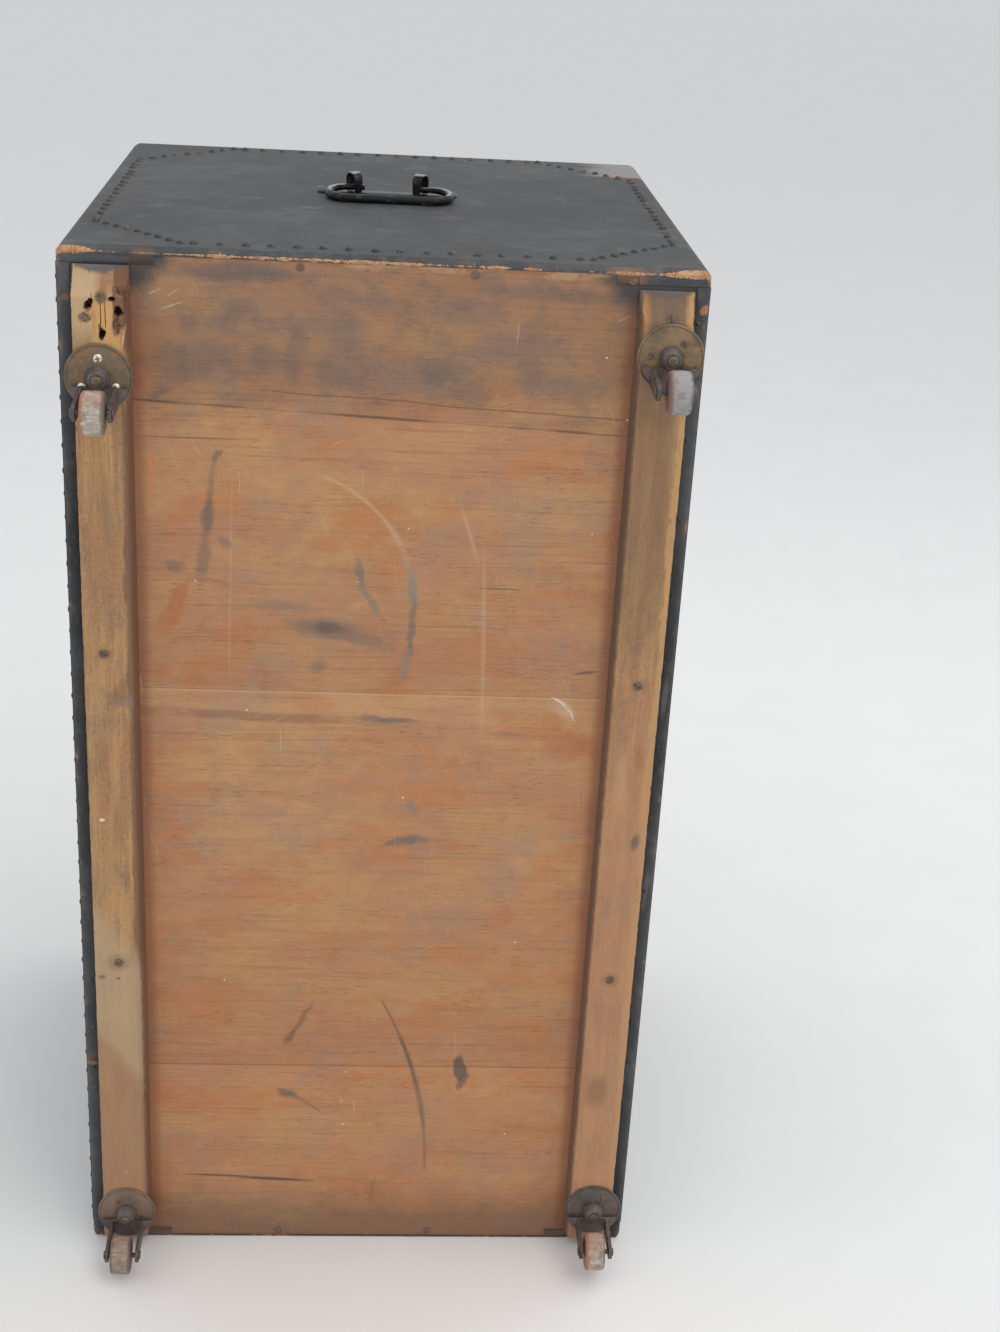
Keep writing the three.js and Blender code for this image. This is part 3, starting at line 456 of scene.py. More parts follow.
BOARD_MARKS: tuple[Mark | Arc, ...] = (
    Mark(-151, 834, 34, 3, 84, (0.18, 0.12, 0.09), 0.42, 1),
    Mark(-154, 806, 20, 6, 86, (0.11, 0.1, 0.095), 0.62, 0.9),
    Mark(-158, 768, 27, 6, 84, (0.15, 0.12, 0.1), 0.5, 1),
    Mark(-145, 864, 8, 3, 60, (0.15, 0.11, 0.09), 0.6),
    Mark(-139, 783, 9, 5, -25, (0.2, 0.14, 0.11), 0.6, 0.95),
    Mark(-184, 758, 10, 6, -10, (0.18, 0.13, 0.1), 0.6, 1),
    Mark(-150, 744, 34, 5, -14, (0.36, 0.15, 0.08), 0.4, 1),
    Mark(-90, 722, 30, 6, -4, (0.24, 0.18, 0.14), 0.55, 1),
    Mark(-46, 701, 34, 11, -6, (0.12, 0.105, 0.095), 0.6, 1),
    Mark(-42, 701, 15, 5, -4, (0.07, 0.068, 0.066), 0.55, 1),
    Mark(-10, 690, 28, 7, -14, (0.2, 0.16, 0.12), 0.6, 1),
    Mark(0, 698, 44, 9, 0, (0.36, 0.16, 0.09), 0.4, 1),
    Mark(-54, 662, 9, 6, 20, (0.22, 0.15, 0.11), 0.55, 1),
    Mark(-17, 756, 16, 3.6, -82, (0.16, 0.145, 0.13), 0.65, 1),
    Mark(-6, 730, 24, 3.8, -62, (0.19, 0.175, 0.16), 0.55, 1),
    Arc(-96.6, 725.9, 129.9, 2.4, 790, 840, (0.62, 0.42, 0.24), 0.4),
    Arc(-96.6, 725.9, 129.9, 4.4, 740, 800, (0.42, 0.31, 0.22), 0.4),
    Mark(32, 742, 22, 4.5, -84, (0.24, 0.21, 0.18), 0.7, 0.9),
    Mark(32, 702, 34, 3.8, 88, (0.15, 0.145, 0.135), 0.65, 0.9),
    Mark(26, 664, 18, 5, 84, (0.24, 0.21, 0.17), 0.6, 1),
    Mark(-204, 843, 26, 4, 88, (0.56, 0.22, 0.08), 0.6, 0.6),
    Mark(-182, 722, 26, 7, 70, (0.42, 0.16, 0.065), 0.75, 0.45),
    Mark(-190, 706, 24, 10, 58, (0.44, 0.18, 0.075), 0.65, 0.5),
    Mark(186, 586, 26, 16, 10, (0.42, 0.16, 0.075), 0.65, 0.6),
    Mark(166, 606, 16, 12, 60, (0.44, 0.18, 0.08), 0.55, 0.6),
    Mark(174, 633, 9, 1.2, -30, (0.76, 0.7, 0.64), 0.75, 1),
    Mark(180, 627, 8, 1, -48, (0.74, 0.68, 0.62), 0.7, 1),
    Mark(186, 620, 8, 1.1, -70, (0.74, 0.68, 0.62), 0.6, 1),
    Mark(178, 625, 13, 8, -50, (0.56, 0.42, 0.3), 0.45, 1),
    Mark(207, 738, 9, 8, 0, (0.42, 0.18, 0.09), 0.55, 0.3),
    Mark(110, 745, 24, 0.9, -1, (0.16, 0.09, 0.06), 0.7),
    Mark(196, 663, 12, 1.6, 8, (0.14, 0.09, 0.07), 0.75),
    Mark(130, 597, 17, 3, -3, (0.26, 0.18, 0.14), 0.55, 1),
    Mark(14, 610, 30, 3.4, -3, (0.17, 0.12, 0.1), 0.7, 1),
    Mark(30, 480, 18, 5, 10, (0.17, 0.14, 0.12), 0.75, 0.6),
    Mark(43, 483, 14, 5.4, 0, (0.19, 0.15, 0.13), 0.55, 0.7),
    Mark(98, 216, 17, 7, -84, (0.12, 0.09, 0.075), 0.85, 0.35),
    Mark(101, 200, 12, 5, 70, (0.13, 0.1, 0.08), 0.7, 0.5),
    Arc(-373.6, 93.1, 439.9, 2, 200, 290, (0.17, 0.1, 0.08), 0.65),
    Arc(-373.6, 93.1, 439.9, 3.6, 150, 246, (0.13, 0.085, 0.07), 0.56),
    Arc(-373.6, 93.1, 439.9, 2.2, 96, 160, (0.22, 0.12, 0.08), 0.6),
    Mark(-66, 270, 30, 3, 62, (0.22, 0.1, 0.06), 0.56, 0.9),
    Mark(-76, 252, 12, 4, 50, (0.17, 0.09, 0.06), 0.48, 0.9),
    Mark(-78, 183, 12, 5, -20, (0.13, 0.1, 0.085), 0.75, 0.9),
    Mark(-58, 172, 24, 2, -38, (0.22, 0.14, 0.1), 0.6),
    Mark(-150, 79, 34, 1.4, -2, (0.1, 0.07, 0.06), 0.8),
    Mark(-92, 75, 44, 2.2, -3, (0.08, 0.06, 0.05), 0.85, 0.9),
    Mark(12, 60, 16, 3, 80, (0.2, 0.13, 0.09), 0.5, 1),
    Mark(99, 690, 96, 2.4, -88, (0.58, 0.41, 0.26), 0.3),
    Mark(82, 796, 34, 2, -72, (0.58, 0.41, 0.26), 0.3),
    Mark(-134, 745, 110, 1.6, 89, (0.58, 0.4, 0.25), 0.2),
    Mark(38, 517, 9, 5, 90, (0.22, 0.19, 0.17), 0.5),
    Mark(-164, 879, 48, 0.6, 0, (0.14, 0.09, 0.07), 0.7, 0.6),
    Mark(-159, 950, 26, 17, 30, (0.17, 0.15, 0.13), 0.65, 0.9),
    Mark(-126, 996, 15, 9, 0, (0.13, 0.125, 0.12), 0.7, 0.95),
    Mark(-138, 984, 17, 8, 10, (0.15, 0.135, 0.12), 0.65, 0.95),
    Mark(-106, 952, 16, 14, 60, (0.13, 0.125, 0.115), 0.65, 0.95),
    Mark(-77, 962, 10, 22, -10, (0.17, 0.15, 0.13), 0.6, 1),
    Mark(-60, 984, 34, 9, 0, (0.17, 0.15, 0.13), 0.55, 1),
    Mark(-35, 978, 14, 22, 10, (0.15, 0.135, 0.125), 0.55, 1),
    Mark(-40, 940, 24, 12, -20, (0.14, 0.135, 0.125), 0.65, 1),
    Mark(30, 942, 44, 18, 4, (0.18, 0.155, 0.135), 0.6, 1),
    Mark(60, 1000, 32, 14, -8, (0.17, 0.145, 0.125), 0.6, 1),
    Mark(112, 970, 44, 15, 8, (0.18, 0.155, 0.135), 0.6, 1),
    Mark(154, 938, 40, 10, 0, (0.2, 0.165, 0.14), 0.5, 1),
    Mark(-128, 1026, 60, 8, 0, (0.1, 0.095, 0.095), 0.75, 0.9),
    Mark(150, 1018, 70, 8, -2, (0.12, 0.105, 0.1), 0.6, 0.9),
    Mark(-202, 962, 14, 26, 0, (0.42, 0.19, 0.095), 0.55, 1),
    Mark(60, 1022, 36, 12, 0, (0.36, 0.16, 0.07), 0.5, 1),
    Mark(200, 980, 26, 12, 50, (0.36, 0.2, 0.11), 0.45, 1),
    Mark(-199, 1007, 8, 0.8, 24, (0.72, 0.62, 0.5), 0.7),
    Mark(-182, 1007, 7, 0.8, 36, (0.72, 0.55, 0.38), 0.7),
    Mark(-183, 996, 10, 0.9, 20, (0.76, 0.66, 0.54), 0.8),
    Mark(207, 1000, 7, 0.9, 30, (0.74, 0.66, 0.58), 0.7),
    Mark(115, 983, 12, 1, 86, (0.6, 0.5, 0.4), 0.6),
    Mark(-194, 919, 12, 4, 30, (0.2, 0.12, 0.09), 0.6, 1),
)


@dataclass(frozen=True)
class BoardWood(Finish):
    """Warm bare softwood with level grain, dirty along both ends of the trunk."""

    low: float = 0.0
    high: float = 1044.0
    marks: tuple[Mark | Arc, ...] = BOARD_MARKS
    ochre: Colour = (0.475, 0.263, 0.119)
    rosy: Colour = (0.425, 0.209, 0.112)
    orange: Colour = (0.455, 0.186, 0.074)
    ashen: Colour = (0.34, 0.22, 0.148)
    vein: Colour = (0.19, 0.085, 0.045)
    crack: Colour = (0.08, 0.045, 0.028)
    strip: Colour = (0.55, 0.36, 0.19)
    strip_shadow: Colour = (0.2, 0.11, 0.07)
    joint_light: Colour = (0.6, 0.42, 0.22)
    film: Colour = (0.25, 0.14, 0.085)
    slate: Colour = (0.13, 0.12, 0.11)
    low_dirt: Colour = (0.19, 0.112, 0.072)
    batten_line: Colour = (0.27, 0.105, 0.055)
    corner_black: Colour = (0.055, 0.056, 0.058)
    bare_pale: Colour = (0.44, 0.27, 0.15)
    bare_rusty: Colour = (0.33, 0.155, 0.07)
    foot_dirt: Colour = (0.2, 0.13, 0.09)
    scratch: Colour = (0.66, 0.5, 0.37)
    speck: Colour = (0.78, 0.72, 0.64)
    joints: tuple[float, ...] = (218.2, 636.8, 903.1)
    height: float = 1044.0
    inner_y: float = -271.0
    joint_slope: float = -0.041
    strip_slope: float = -0.033
    strip_width: float = 25.0
    crack_z: float = 919.0
    crack_fall: float = 0.052
    scratch_turns: tuple[tuple[float, float], ...] = ((0.55, 31), (-1.1, 43), (-1.5, 83))

    def paint(self, shade: Shade) -> None:
        """Lay tones, grain, joints, marks, dirt with some painted shade, and specks; only the outer face
        has the last four.

        Args:
            shade: The material being made.
        """
        flow = shade.clouds((260, 260, 60), 2)
        bent = shade.bent((flow - 0.5) * 12, 2)
        veins = shade.clouds((130, 60, 2.4), 5, 0.7, shift=7, place=bent)
        dashes = shade.clouds((12, 12, 0.8), 2, 0.6, shift=2, place=bent)
        fibres = shade.clouds((22, 8, 0.6), 3, 0.7, shift=3)
        patches = shade.clouds((16, 16, 12), 5, 0.7, shift=11)
        self.lay_tones(shade, bent)
        lines = shade.rise(veins, 0.5, 0.78)
        shade.lay(lines * 0.26, self.vein)
        busy = shade.rise(shade.clouds((70, 70, 26), 2, shift=29), 0.4, 0.62) + 0.3
        flecks = shade.rise(dashes, 0.58, 0.7) * busy
        shade.lay(flecks * 0.42, self.vein)
        shade.darken(0.71 + fibres * 0.26 + patches * 0.34)
        clean = shade.colour
        self.draw_joints(shade)
        self.draw_cracks(shade)
        marks = [mark for mark in self.marks if mark.touches(self.low, self.high)]
        shade.stain(marks, shade.warped(12, 5.2))
        grime = self.lay_dirt(shade)
        self.wear_edges(shade)
        shade.lay(self.scratches(shade) * 0.34, self.scratch)
        shade.lay(shade.dots(24, 1.1, 0.3) * 0.85, self.speck)
        outside = shade.rise(shade.y, self.inner_y, self.inner_y - 1)
        shade.colour = shade.mix(outside, clean, shade.colour)
        roughness = 0.6 + grime * 0.14 + shade.rise(patches, 0.4, 0.7) * 0.08
        bumps = [(lines, -0.25), (fibres, 0.1), (flecks, -0.12), (patches, 0.5)]
        shade.surface(roughness, bumps, IOR=1.38)

    def lay_tones(self, shade: Shade, bent: Wire) -> None:
        """Lay the wood's slow changes of colour.

        Args:
            shade: The material being made.
            bent: The place, bent along the grain.
        """
        slow = shade.clouds((120, 120, 60), 4, 0.6, place=bent)
        amber = shade.clouds((80, 80, 36), 4, 0.62, shift=17)
        ash = shade.clouds((60, 60, 44), 5, 0.65, shift=51)
        shade.colour = self.ochre
        shade.lay(shade.rise(slow, 0.34, 0.66), self.rosy)
        shade.lay(shade.rise(amber, 0.46, 0.66) * 0.75, self.orange)
        shade.lay(shade.rise(ash, 0.48, 0.68) * 0.6, self.ashen)
        shade.lay(shade.rise(shade.z, 600, 200) * 0.22, self.orange)

    def draw_joints(self, shade: Shade) -> None:
        """Draw the boards' joints, with a pale strip below the middle one.

        Args:
            shade: The material being made.
        """
        lower, middle, upper = self.joints
        level = shade.z - shade.x * self.strip_slope
        strip = shade.between(level, middle - self.strip_width, middle - 2, 2)
        shade.lay(strip * 0.15, self.strip)
        wander = shade.clouds((60, 60, 60), 2, shift=77)
        under = shade.between(level + wander * 8, middle - 28, middle - 24, 5)
        under = under * shade.rise(shade.x, 100, -60) * shade.rise(wander, 0.3, 0.5)
        shade.lay(under * 0.5, self.strip_shadow)
        line = shade.between(shade.z, middle - 1.8, middle - 0.6, 0.8)
        shade.lay(line * 0.3, self.joint_light)
        tilted = shade.z - shade.x * self.joint_slope
        seam = shade.between(tilted, upper - 0.8, upper + 0.8, 1.2)
        shade.lay(seam * shade.rise(wander, 0.34, 0.6) * 0.6, self.crack)
        last = shade.between(shade.z, lower - 0.6, lower + 0.6, 0.8)
        shade.lay(last * 0.2, self.crack)

    def draw_cracks(self, shade: Shade) -> None:
        """Draw the slanting crack above the uppermost joint and a few short checks.

        Args:
            shade: The material being made.
        """
        wander = shade.clouds((130, 130, 400), 2, 0.6, shift=5)
        off = abs(shade.z + shade.x * self.crack_fall - self.crack_z + (wander - 0.5) * 9)
        line = shade.rise(off, 1.1, 0.3) * shade.rise(shade.x, -112, -90)
        shade.lay(line * 0.55, self.crack)
        checks = shade.clouds((34, 34, 1), 1, 0.5, shift=61)
        few = shade.rise(shade.clouds(50, 1, shift=67), 0.6, 0.66)
        shade.lay(shade.rise(checks, 0.7, 0.74) * few * 0.6, self.crack)

    def lay_dirt(self, shade: Shade) -> Wire:
        """Lay dirt along the upper and lower ends, and beside the battens a band that is partly stain and
        partly painted shade.

        Args:
            shade: The material being made.

        Returns:
            Where it is dirtiest.
        """
        blots = shade.clouds((40, 40, 30), 8, 0.7, warp=0.3, shift=19)
        film = shade.rise(shade.z + (blots - 0.5) * 60, 885, 950)
        high = film * shade.rise(blots, 0.44, 0.62)
        low = shade.rise(shade.z + (blots - 0.5) * 70, 80, 16)
        shade.lay(film * 0.5, self.film)
        shade.lay(high * 0.42, self.slate)
        shade.lay(low * 0.72, self.low_dirt)
        # Beside the battens: a reddish band, partly stain and partly painted shade where the battens stand
        # proud.
        side = shade.rise(abs(shade.x) + (blots - 0.5) * 8, 204, 214)
        shade.lay(side * 0.6, self.batten_line)
        slant = abs(shade.x) - (self.height - shade.z) * 0.9 + (blots - 0.5) * 30
        black = shade.rise(slant, 162, 190) * shade.rise(shade.z, 995, 1018)
        shade.lay(black * 0.94, self.corner_black)
        return shade.most(high, low)

    def wear_edges(self, shade: Shade) -> None:
        """Show pale bare wood along the uppermost edge and a painted contact shadow along the lowest.

        Args:
            shade: The material being made.
        """
        ragged = shade.clouds((18, 18, 9), 4, 0.65, shift=23)
        slow = shade.clouds((90, 90, 90), 1, shift=73)
        reach = 1 + ragged * 13 + shade.rise(slow, 0.4, 0.62) * 6
        edge = shade.rise(self.height - shade.z - reach, 1.4, -1.4)
        bare = shade.mix(shade.rise(ragged, 0.4, 0.6), self.bare_pale, self.bare_rusty)
        shade.lay(edge * shade.rise(abs(shade.x), 200, 180) * 0.85, bare)
        # A thin dark band at the foot: a painted contact shadow where the boards meet the floor.
        shade.lay(shade.rise(shade.z - ragged * 10, 0, -4) * 0.6, self.foot_dirt)

    def scratches(self, shade: Shade) -> Wire:
        """Give thin pale scratches in three directions.

        Args:
            shade: The material being made.

        Returns:
            Their mask.
        """
        total: Wire | float = 0
        for turn, shift in self.scratch_turns:
            local = shade.mapped(shade.place, (shift,) * 3, (1, 1, 1), turn)
            hair = shade.clouds((60, 300, 1.2), 1, 0.5, place=local)
            here = shade.rise(shade.clouds(60, 1, shift=shift), 0.56, 0.62)
            total = shade.rise(hair, 0.73, 0.78) * here + total
        return total


BATTEN_MARKS: tuple[Mark, ...] = (
    Mark(-240.4, 1004.4, 6.2, 6, 0, (0.13, 0.085, 0.06), 0.6, 0.5),
    Mark(-251, 998.5, 5.6, 3.2, 60, (0.012, 0.009, 0.007), 0.92, 0.5),
    Mark(-254.2, 987.2, 6.5, 4.8, 10, (0.13, 0.08, 0.05), 0.6, 0.6),
    Mark(-226.4, 993.2, 4.6, 3.4, 80, (0.012, 0.009, 0.007), 0.92, 0.5),
    Mark(-227.4, 981, 8.5, 4.4, 85, (0.15, 0.09, 0.055), 0.6, 0.6),
    Mark(-231.2, 1003.7, 3.6, 2.3, 0, (0.02, 0.015, 0.01), 0.9, 0.5),
    Mark(-240.2, 973.4, 5.8, 2.8, 80, (0.012, 0.009, 0.007), 0.92, 0.5),
    Mark(-246.5, 986, 14, 2, 90, (0.46, 0.19, 0.07), 0.55, 1),
    Mark(-235.5, 984, 16, 3.4, 90, (0.66, 0.38, 0.14), 0.5, 1),
    Mark(-219.5, 969, 14, 5.5, 84, (0.22, 0.105, 0.055), 0.8, 0.7),
    Mark(-222, 972, 11, 1.1, 80, (0.66, 0.47, 0.27), 0.7, 0.8),
    Mark(-216.5, 966, 9, 0.9, 96, (0.6, 0.4, 0.22), 0.7, 0.8),
    Mark(-216.2, 1000, 30, 1, 88, (0.52, 0.38, 0.24), 0.5, 0.8),
    Mark(-246.9, 677.5, 9, 7.5, 0, (0.16, 0.1, 0.065), 0.34, 1),
    Mark(-226.5, 630, 9, 6.5, 0, (0.22, 0.185, 0.155), 0.55, 0.4),
    Mark(-232, 640, 20, 8, 60, (0.17, 0.1, 0.062), 0.45, 1),
    Mark(-250, 585, 30, 6, 90, (0.24, 0.13, 0.072), 0.4, 1),
    Mark(-238, 500, 28, 7, 88, (0.22, 0.12, 0.066), 0.4, 1),
    Mark(-253.7, 506.5, 3, 2, 0, (0.75, 0.7, 0.62), 0.8, 0.9),
    Mark(-242.5, 349, 12, 10, 0, (0.15, 0.09, 0.06), 0.42, 1),
    Mark(-258.9, 332.2, 4.2, 2.8, 0, (0.12, 0.105, 0.09), 0.65, 0.9),
    Mark(-243, 331, 2.4, 1.6, 0, (0.1, 0.08, 0.065), 0.7, 0.8),
    Mark(-240, 812, 40, 6, 90, (0.25, 0.165, 0.1), 0.4, 1),
    Mark(254.7, 494, 10, 4.6, 80, (0.12, 0.1, 0.09), 0.75, 0.9),
    Mark(239, 203, 22, 13, 85, (0.2, 0.105, 0.06), 0.55, 1),
    Mark(242.3, 337.3, 9, 8, 0, (0.16, 0.095, 0.065), 0.42, 1),
    Mark(245, 659, 10, 8, 0, (0.16, 0.1, 0.07), 0.34, 1),
    Mark(252, 585, 16, 4, 88, (0.36, 0.13, 0.07), 0.5, 1),
    Mark(259, 540, 40, 3, 90, (0.58, 0.27, 0.11), 0.45, 1),
    Mark(236, 560, 34, 6, 90, (0.52, 0.34, 0.2), 0.35, 1),
    Mark(245, 1004, 8, 7, 0, (0.13, 0.09, 0.065), 0.55, 0.8),
    Mark(223.5, 1007, 17, 5.5, 88, (0.5, 0.24, 0.09), 0.7, 1),
    Mark(263, 1006, 15, 5, 92, (0.52, 0.27, 0.11), 0.6, 1),
)


@dataclass(frozen=True)
class BattenWood(Finish):
    """Ochre wood with upright grain, black on its outer side, and dark on its inner side, partly brown
    wood and partly painted shade.
    """

    side: int = -1
    centre: float = 242.5
    upper: float = 1029.0
    marks: tuple[Mark, ...] = BATTEN_MARKS
    worm_nests: tuple[Mark, ...] = (
        Mark(-254.2, 987.2, 6, 5, 0, WORM_HOLE, 1, 0.3),
        Mark(-227.4, 980.5, 9, 4.6, 85, WORM_HOLE, 1, 0.3),
    )
    ochre: Colour = (0.48, 0.275, 0.12)
    rosy: Colour = (0.36, 0.19, 0.092)
    grey: Colour = (0.2, 0.14, 0.095)
    dark: Colour = (0.115, 0.062, 0.038)
    pale: Colour = (0.6, 0.43, 0.26)
    speck: Colour = (0.75, 0.68, 0.6)
    drab: Colour = (0.19, 0.115, 0.066)
    rubbed: Colour = (0.56, 0.33, 0.13)
    lower_rosy: Colour = (0.46, 0.235, 0.13)
    lower_dirt: Colour = (0.2, 0.11, 0.065)
    fresh: Colour = (0.56, 0.4, 0.23)
    amber: Colour = (0.62, 0.36, 0.14)
    inner_third: Colour = (0.17, 0.082, 0.045)
    streak: Colour = (0.15, 0.08, 0.05)
    bleached: Colour = (0.47, 0.35, 0.22)
    lowest: Colour = (0.36, 0.205, 0.118)
    inner_sides: tuple[Colour, Colour] = ((0.17, 0.085, 0.052), (0.12, 0.082, 0.062))
    black: Colour = (0.03, 0.029, 0.029)
    top_black: Colour = (0.11, 0.113, 0.117)
    slope_dirt: Colour = (0.13, 0.095, 0.07)

    @property
    def title(self) -> str:
        """Return a name for each of the two battens."""
        return "BattenWoodHingeSide" if self.side < 0 else "BattenWoodLockSide"

    def paint(self, shade: Shade) -> None:
        """Lay grain, dirt, marks, paint on the sides and specks.

        Args:
            shade: The material being made.
        """
        shift = self.side * 4
        flow = shade.clouds((46, 200, 240), 2, shift=shift)
        bent = shade.bent((flow - 0.5) * 10, 0)
        bands = shade.clouds((15, 60, 170), 4, 0.6, place=bent)
        veins = shade.clouds((1.5, 30, 60), 4, 0.65, shift=9, place=bent)
        fibres = shade.clouds((0.55, 8, 14), 3, 0.65, shift=3)
        blots = shade.clouds((22, 22, 44), 6, 0.68, shift=14 + shift)
        speckle = shade.clouds((2.6, 3, 4), 4, 0.7, shift=24)
        scrapes = shade.clouds((10, 10, 0.9), 3, 0.6, shift=64)
        shade.colour = self.ochre
        shade.lay(shade.rise(bands, 0.36, 0.64), self.rosy)
        shade.lay(shade.rise(veins, 0.5, 0.74) * 0.4, self.dark)
        shade.lay(shade.rise(blots, 0.46, 0.66) * 0.5, self.grey)
        shade.lay(shade.rise(speckle, 0.54, 0.7) * 0.42, self.dark)
        shade.lay(shade.rise(speckle, 0.46, 0.34) * 0.3, self.pale)
        shade.lay(shade.rise(scrapes, 0.6, 0.72) * 0.25, self.pale)
        shade.darken(0.84 + fibres * 0.32)
        off = shade.x * self.side - self.centre
        if self.side < 0:
            self.dirty_hinge_side(shade, off, blots)
        else:
            self.dirty_lock_side(shade, off, blots)
        marks = [mark for mark in self.marks if mark.x * self.side > 0]
        shade.stain(marks, shade.warped(3.5, 1.3))
        if self.side < 0:
            upper, lower = (shade.oval(nest, shade.place) for nest in self.worm_nests)
            shade.lay(shade.dots(2.5, 0.95, 0.8, 3) * (upper + lower), WORM_HOLE)
        self.paint_sides(shade, off)
        shade.lay(shade.dots(22, 0.9, 0.2, 8) * 0.7, self.speck)
        bumps = [(veins, 0.3), (fibres, 0.14), (speckle, 0.2)]
        shade.surface(0.64 + blots * 0.14, bumps, IOR=1.38)

    def dirty_lock_side(self, shade: Shade, off: Wire, blots: Wire) -> None:
        """Lay the lock side's drab upper half, rubbed outer edge and rosy lower half.

        Args:
            shade: The material being made.
            off: The distance outwards from the batten's middle line.
            blots: The noise that breaks the dirt up.
        """
        drab = shade.rise(shade.z + (blots - 0.5) * 200, 620, 760)
        drab = drab * shade.rise(off + (blots - 0.5) * 16, 19, 11)
        shade.lay(drab * 0.55, self.drab)
        edge = shade.rise(off + (blots - 0.5) * 22, 15.5, 18.5)
        shade.lay(edge * 0.62, self.rubbed)
        shade.lay(shade.rise(shade.z, 760, 480) * 0.55, self.lower_rosy)
        shade.lay(shade.rise(shade.z, 90, 40) * 0.4, self.lower_dirt)

    def dirty_hinge_side(self, shade: Shade, off: Wire, blots: Wire) -> None:
        """Lay the hinge side's fresh top, its dark inner streak and its bleached lower part.

        Args:
            shade: The material being made.
            off: The distance outwards from the batten's middle line.
            blots: The noise that breaks the dirt up.
        """
        fresh = shade.rise(shade.z, 955, 985) * shade.rise(off, -4, 8)
        shade.lay(fresh * 0.75, self.fresh)
        amber = shade.between(shade.z, 940, 1002, 10) * shade.rise(off, 8, 2)
        shade.lay(amber * 0.75, self.amber)
        inner = shade.rise(off + (blots - 0.5) * 8, -11, -12.5)
        brown = inner * shade.rise(shade.z + blots * 30, 984, 996)
        shade.lay(brown * 0.9, self.inner_third)
        streak = shade.rise(shade.z, 930, 900) * shade.rise(off + blots * 14, -8, -12)
        shade.lay(streak * 0.75, self.streak)
        slant = shade.z - off * 1.4
        shade.lay(shade.between(slant, 250, 360, 40) * 0.6, self.bleached)
        low = shade.rise(slant + (blots - 0.5) * 30, 246, 226)
        shade.lay(low * 0.7, self.lowest)

    def paint_sides(self, shade: Shade, off: Wire) -> None:
        """Black the outer side and the top of the slope, and darken the inner side, partly brown wood and
        partly painted shade.

        Args:
            shade: The material being made.
            off: The distance outwards from the batten's middle line.
        """
        chips = shade.clouds((3, 3, 9), 2, 0.6, shift=21)
        # The inner side: partly its own dark brown and partly painted shade on a face turned from the
        # light.
        inner = shade.rise(off + (chips - 0.5) * 4, -20.2, -22.4)
        shade.lay(inner * 0.85, self.inner_sides[self.side > 0])
        outer = shade.rise(off + (chips - 0.5) * 3.5, 22.4, 23.4)
        shade.lay(outer * 0.95, self.black)
        below = self.upper - shade.z - (6.5 - off * off * 0.012)
        top = shade.rise(below + (chips - 0.5) * 5, 2, -2)
        shade.lay(top * 0.9, self.top_black)
        if self.side > 0:
            span = shade.between(below, 2, 26, 6)
            middle = shade.rise(abs(off), 22, 12)
            shade.lay(span * middle * 0.6, self.slope_dirt)


@dataclass(frozen=True)
class CaseWood(Finish):
    """Plain clean wood of the inside, with upright grain."""

    light: Colour = (0.56, 0.4, 0.24)
    warm: Colour = (0.4, 0.25, 0.13)
    water: Colour = (0.24, 0.15, 0.09)

    def paint(self, shade: Shade) -> None:
        """Lay grain and a few water marks.

        Args:
            shade: The material being made.
        """
        flow = shade.clouds((60, 60, 300), 2)
        bent = shade.bent((flow - 0.5) * 30, 0)
        bands = shade.clouds((14, 14, 420), 4, 0.6, place=bent)
        fibres = shade.clouds((0.8, 0.8, 40), 2, 0.6, shift=3)
        blots = shade.clouds(150, 4, 0.6, shift=14)
        shade.colour = self.light
        shade.lay(shade.rise(bands, 0.38, 0.64), self.warm)
        shade.darken(0.84 + fibres * 0.28)
        shade.lay(shade.rise(blots, 0.52, 0.7) * 0.3, self.water)
        shade.surface(0.66 + blots * 0.1, [(bands, 0.3), (fibres, 0.1)], IOR=1.4)


CLOTH_MARKS: tuple[Mark, ...] = (
    Mark(-275, 219, 7, 2.5, 0, (0.34, 0.15, 0.09), 0.8, 0.6),
    Mark(-274, 228, 9, 5, 60, (0.12, 0.075, 0.055), 0.8, 0.7),
    Mark(-272, 1000, 4, 3, 20, (0.3, 0.13, 0.09), 0.6, 0.9),
    Mark(276, 1010, 5, 4, 50, (0.45, 0.2, 0.1), 0.75, 0.6),
    Mark(273, 640, 22, 3, 88, (0.2, 0.2, 0.2), 0.4, 1),
    Mark(272, 430, 26, 3, 88, (0.18, 0.18, 0.18), 0.4, 1),
    Mark(-208, 1034, 13, 14, 0, (0.11, 0.08, 0.065), 0.9, 1),
    Mark(206, 1034, 18, 14, 0, (0.22, 0.13, 0.08), 0.95, 1),
    Mark(-208, 7.5, 22, 5, -4, (0.15, 0.095, 0.065), 0.92, 0.6),
    Mark(208, 7.5, 22, 5, 4, (0.13, 0.085, 0.06), 0.92, 0.6),
)


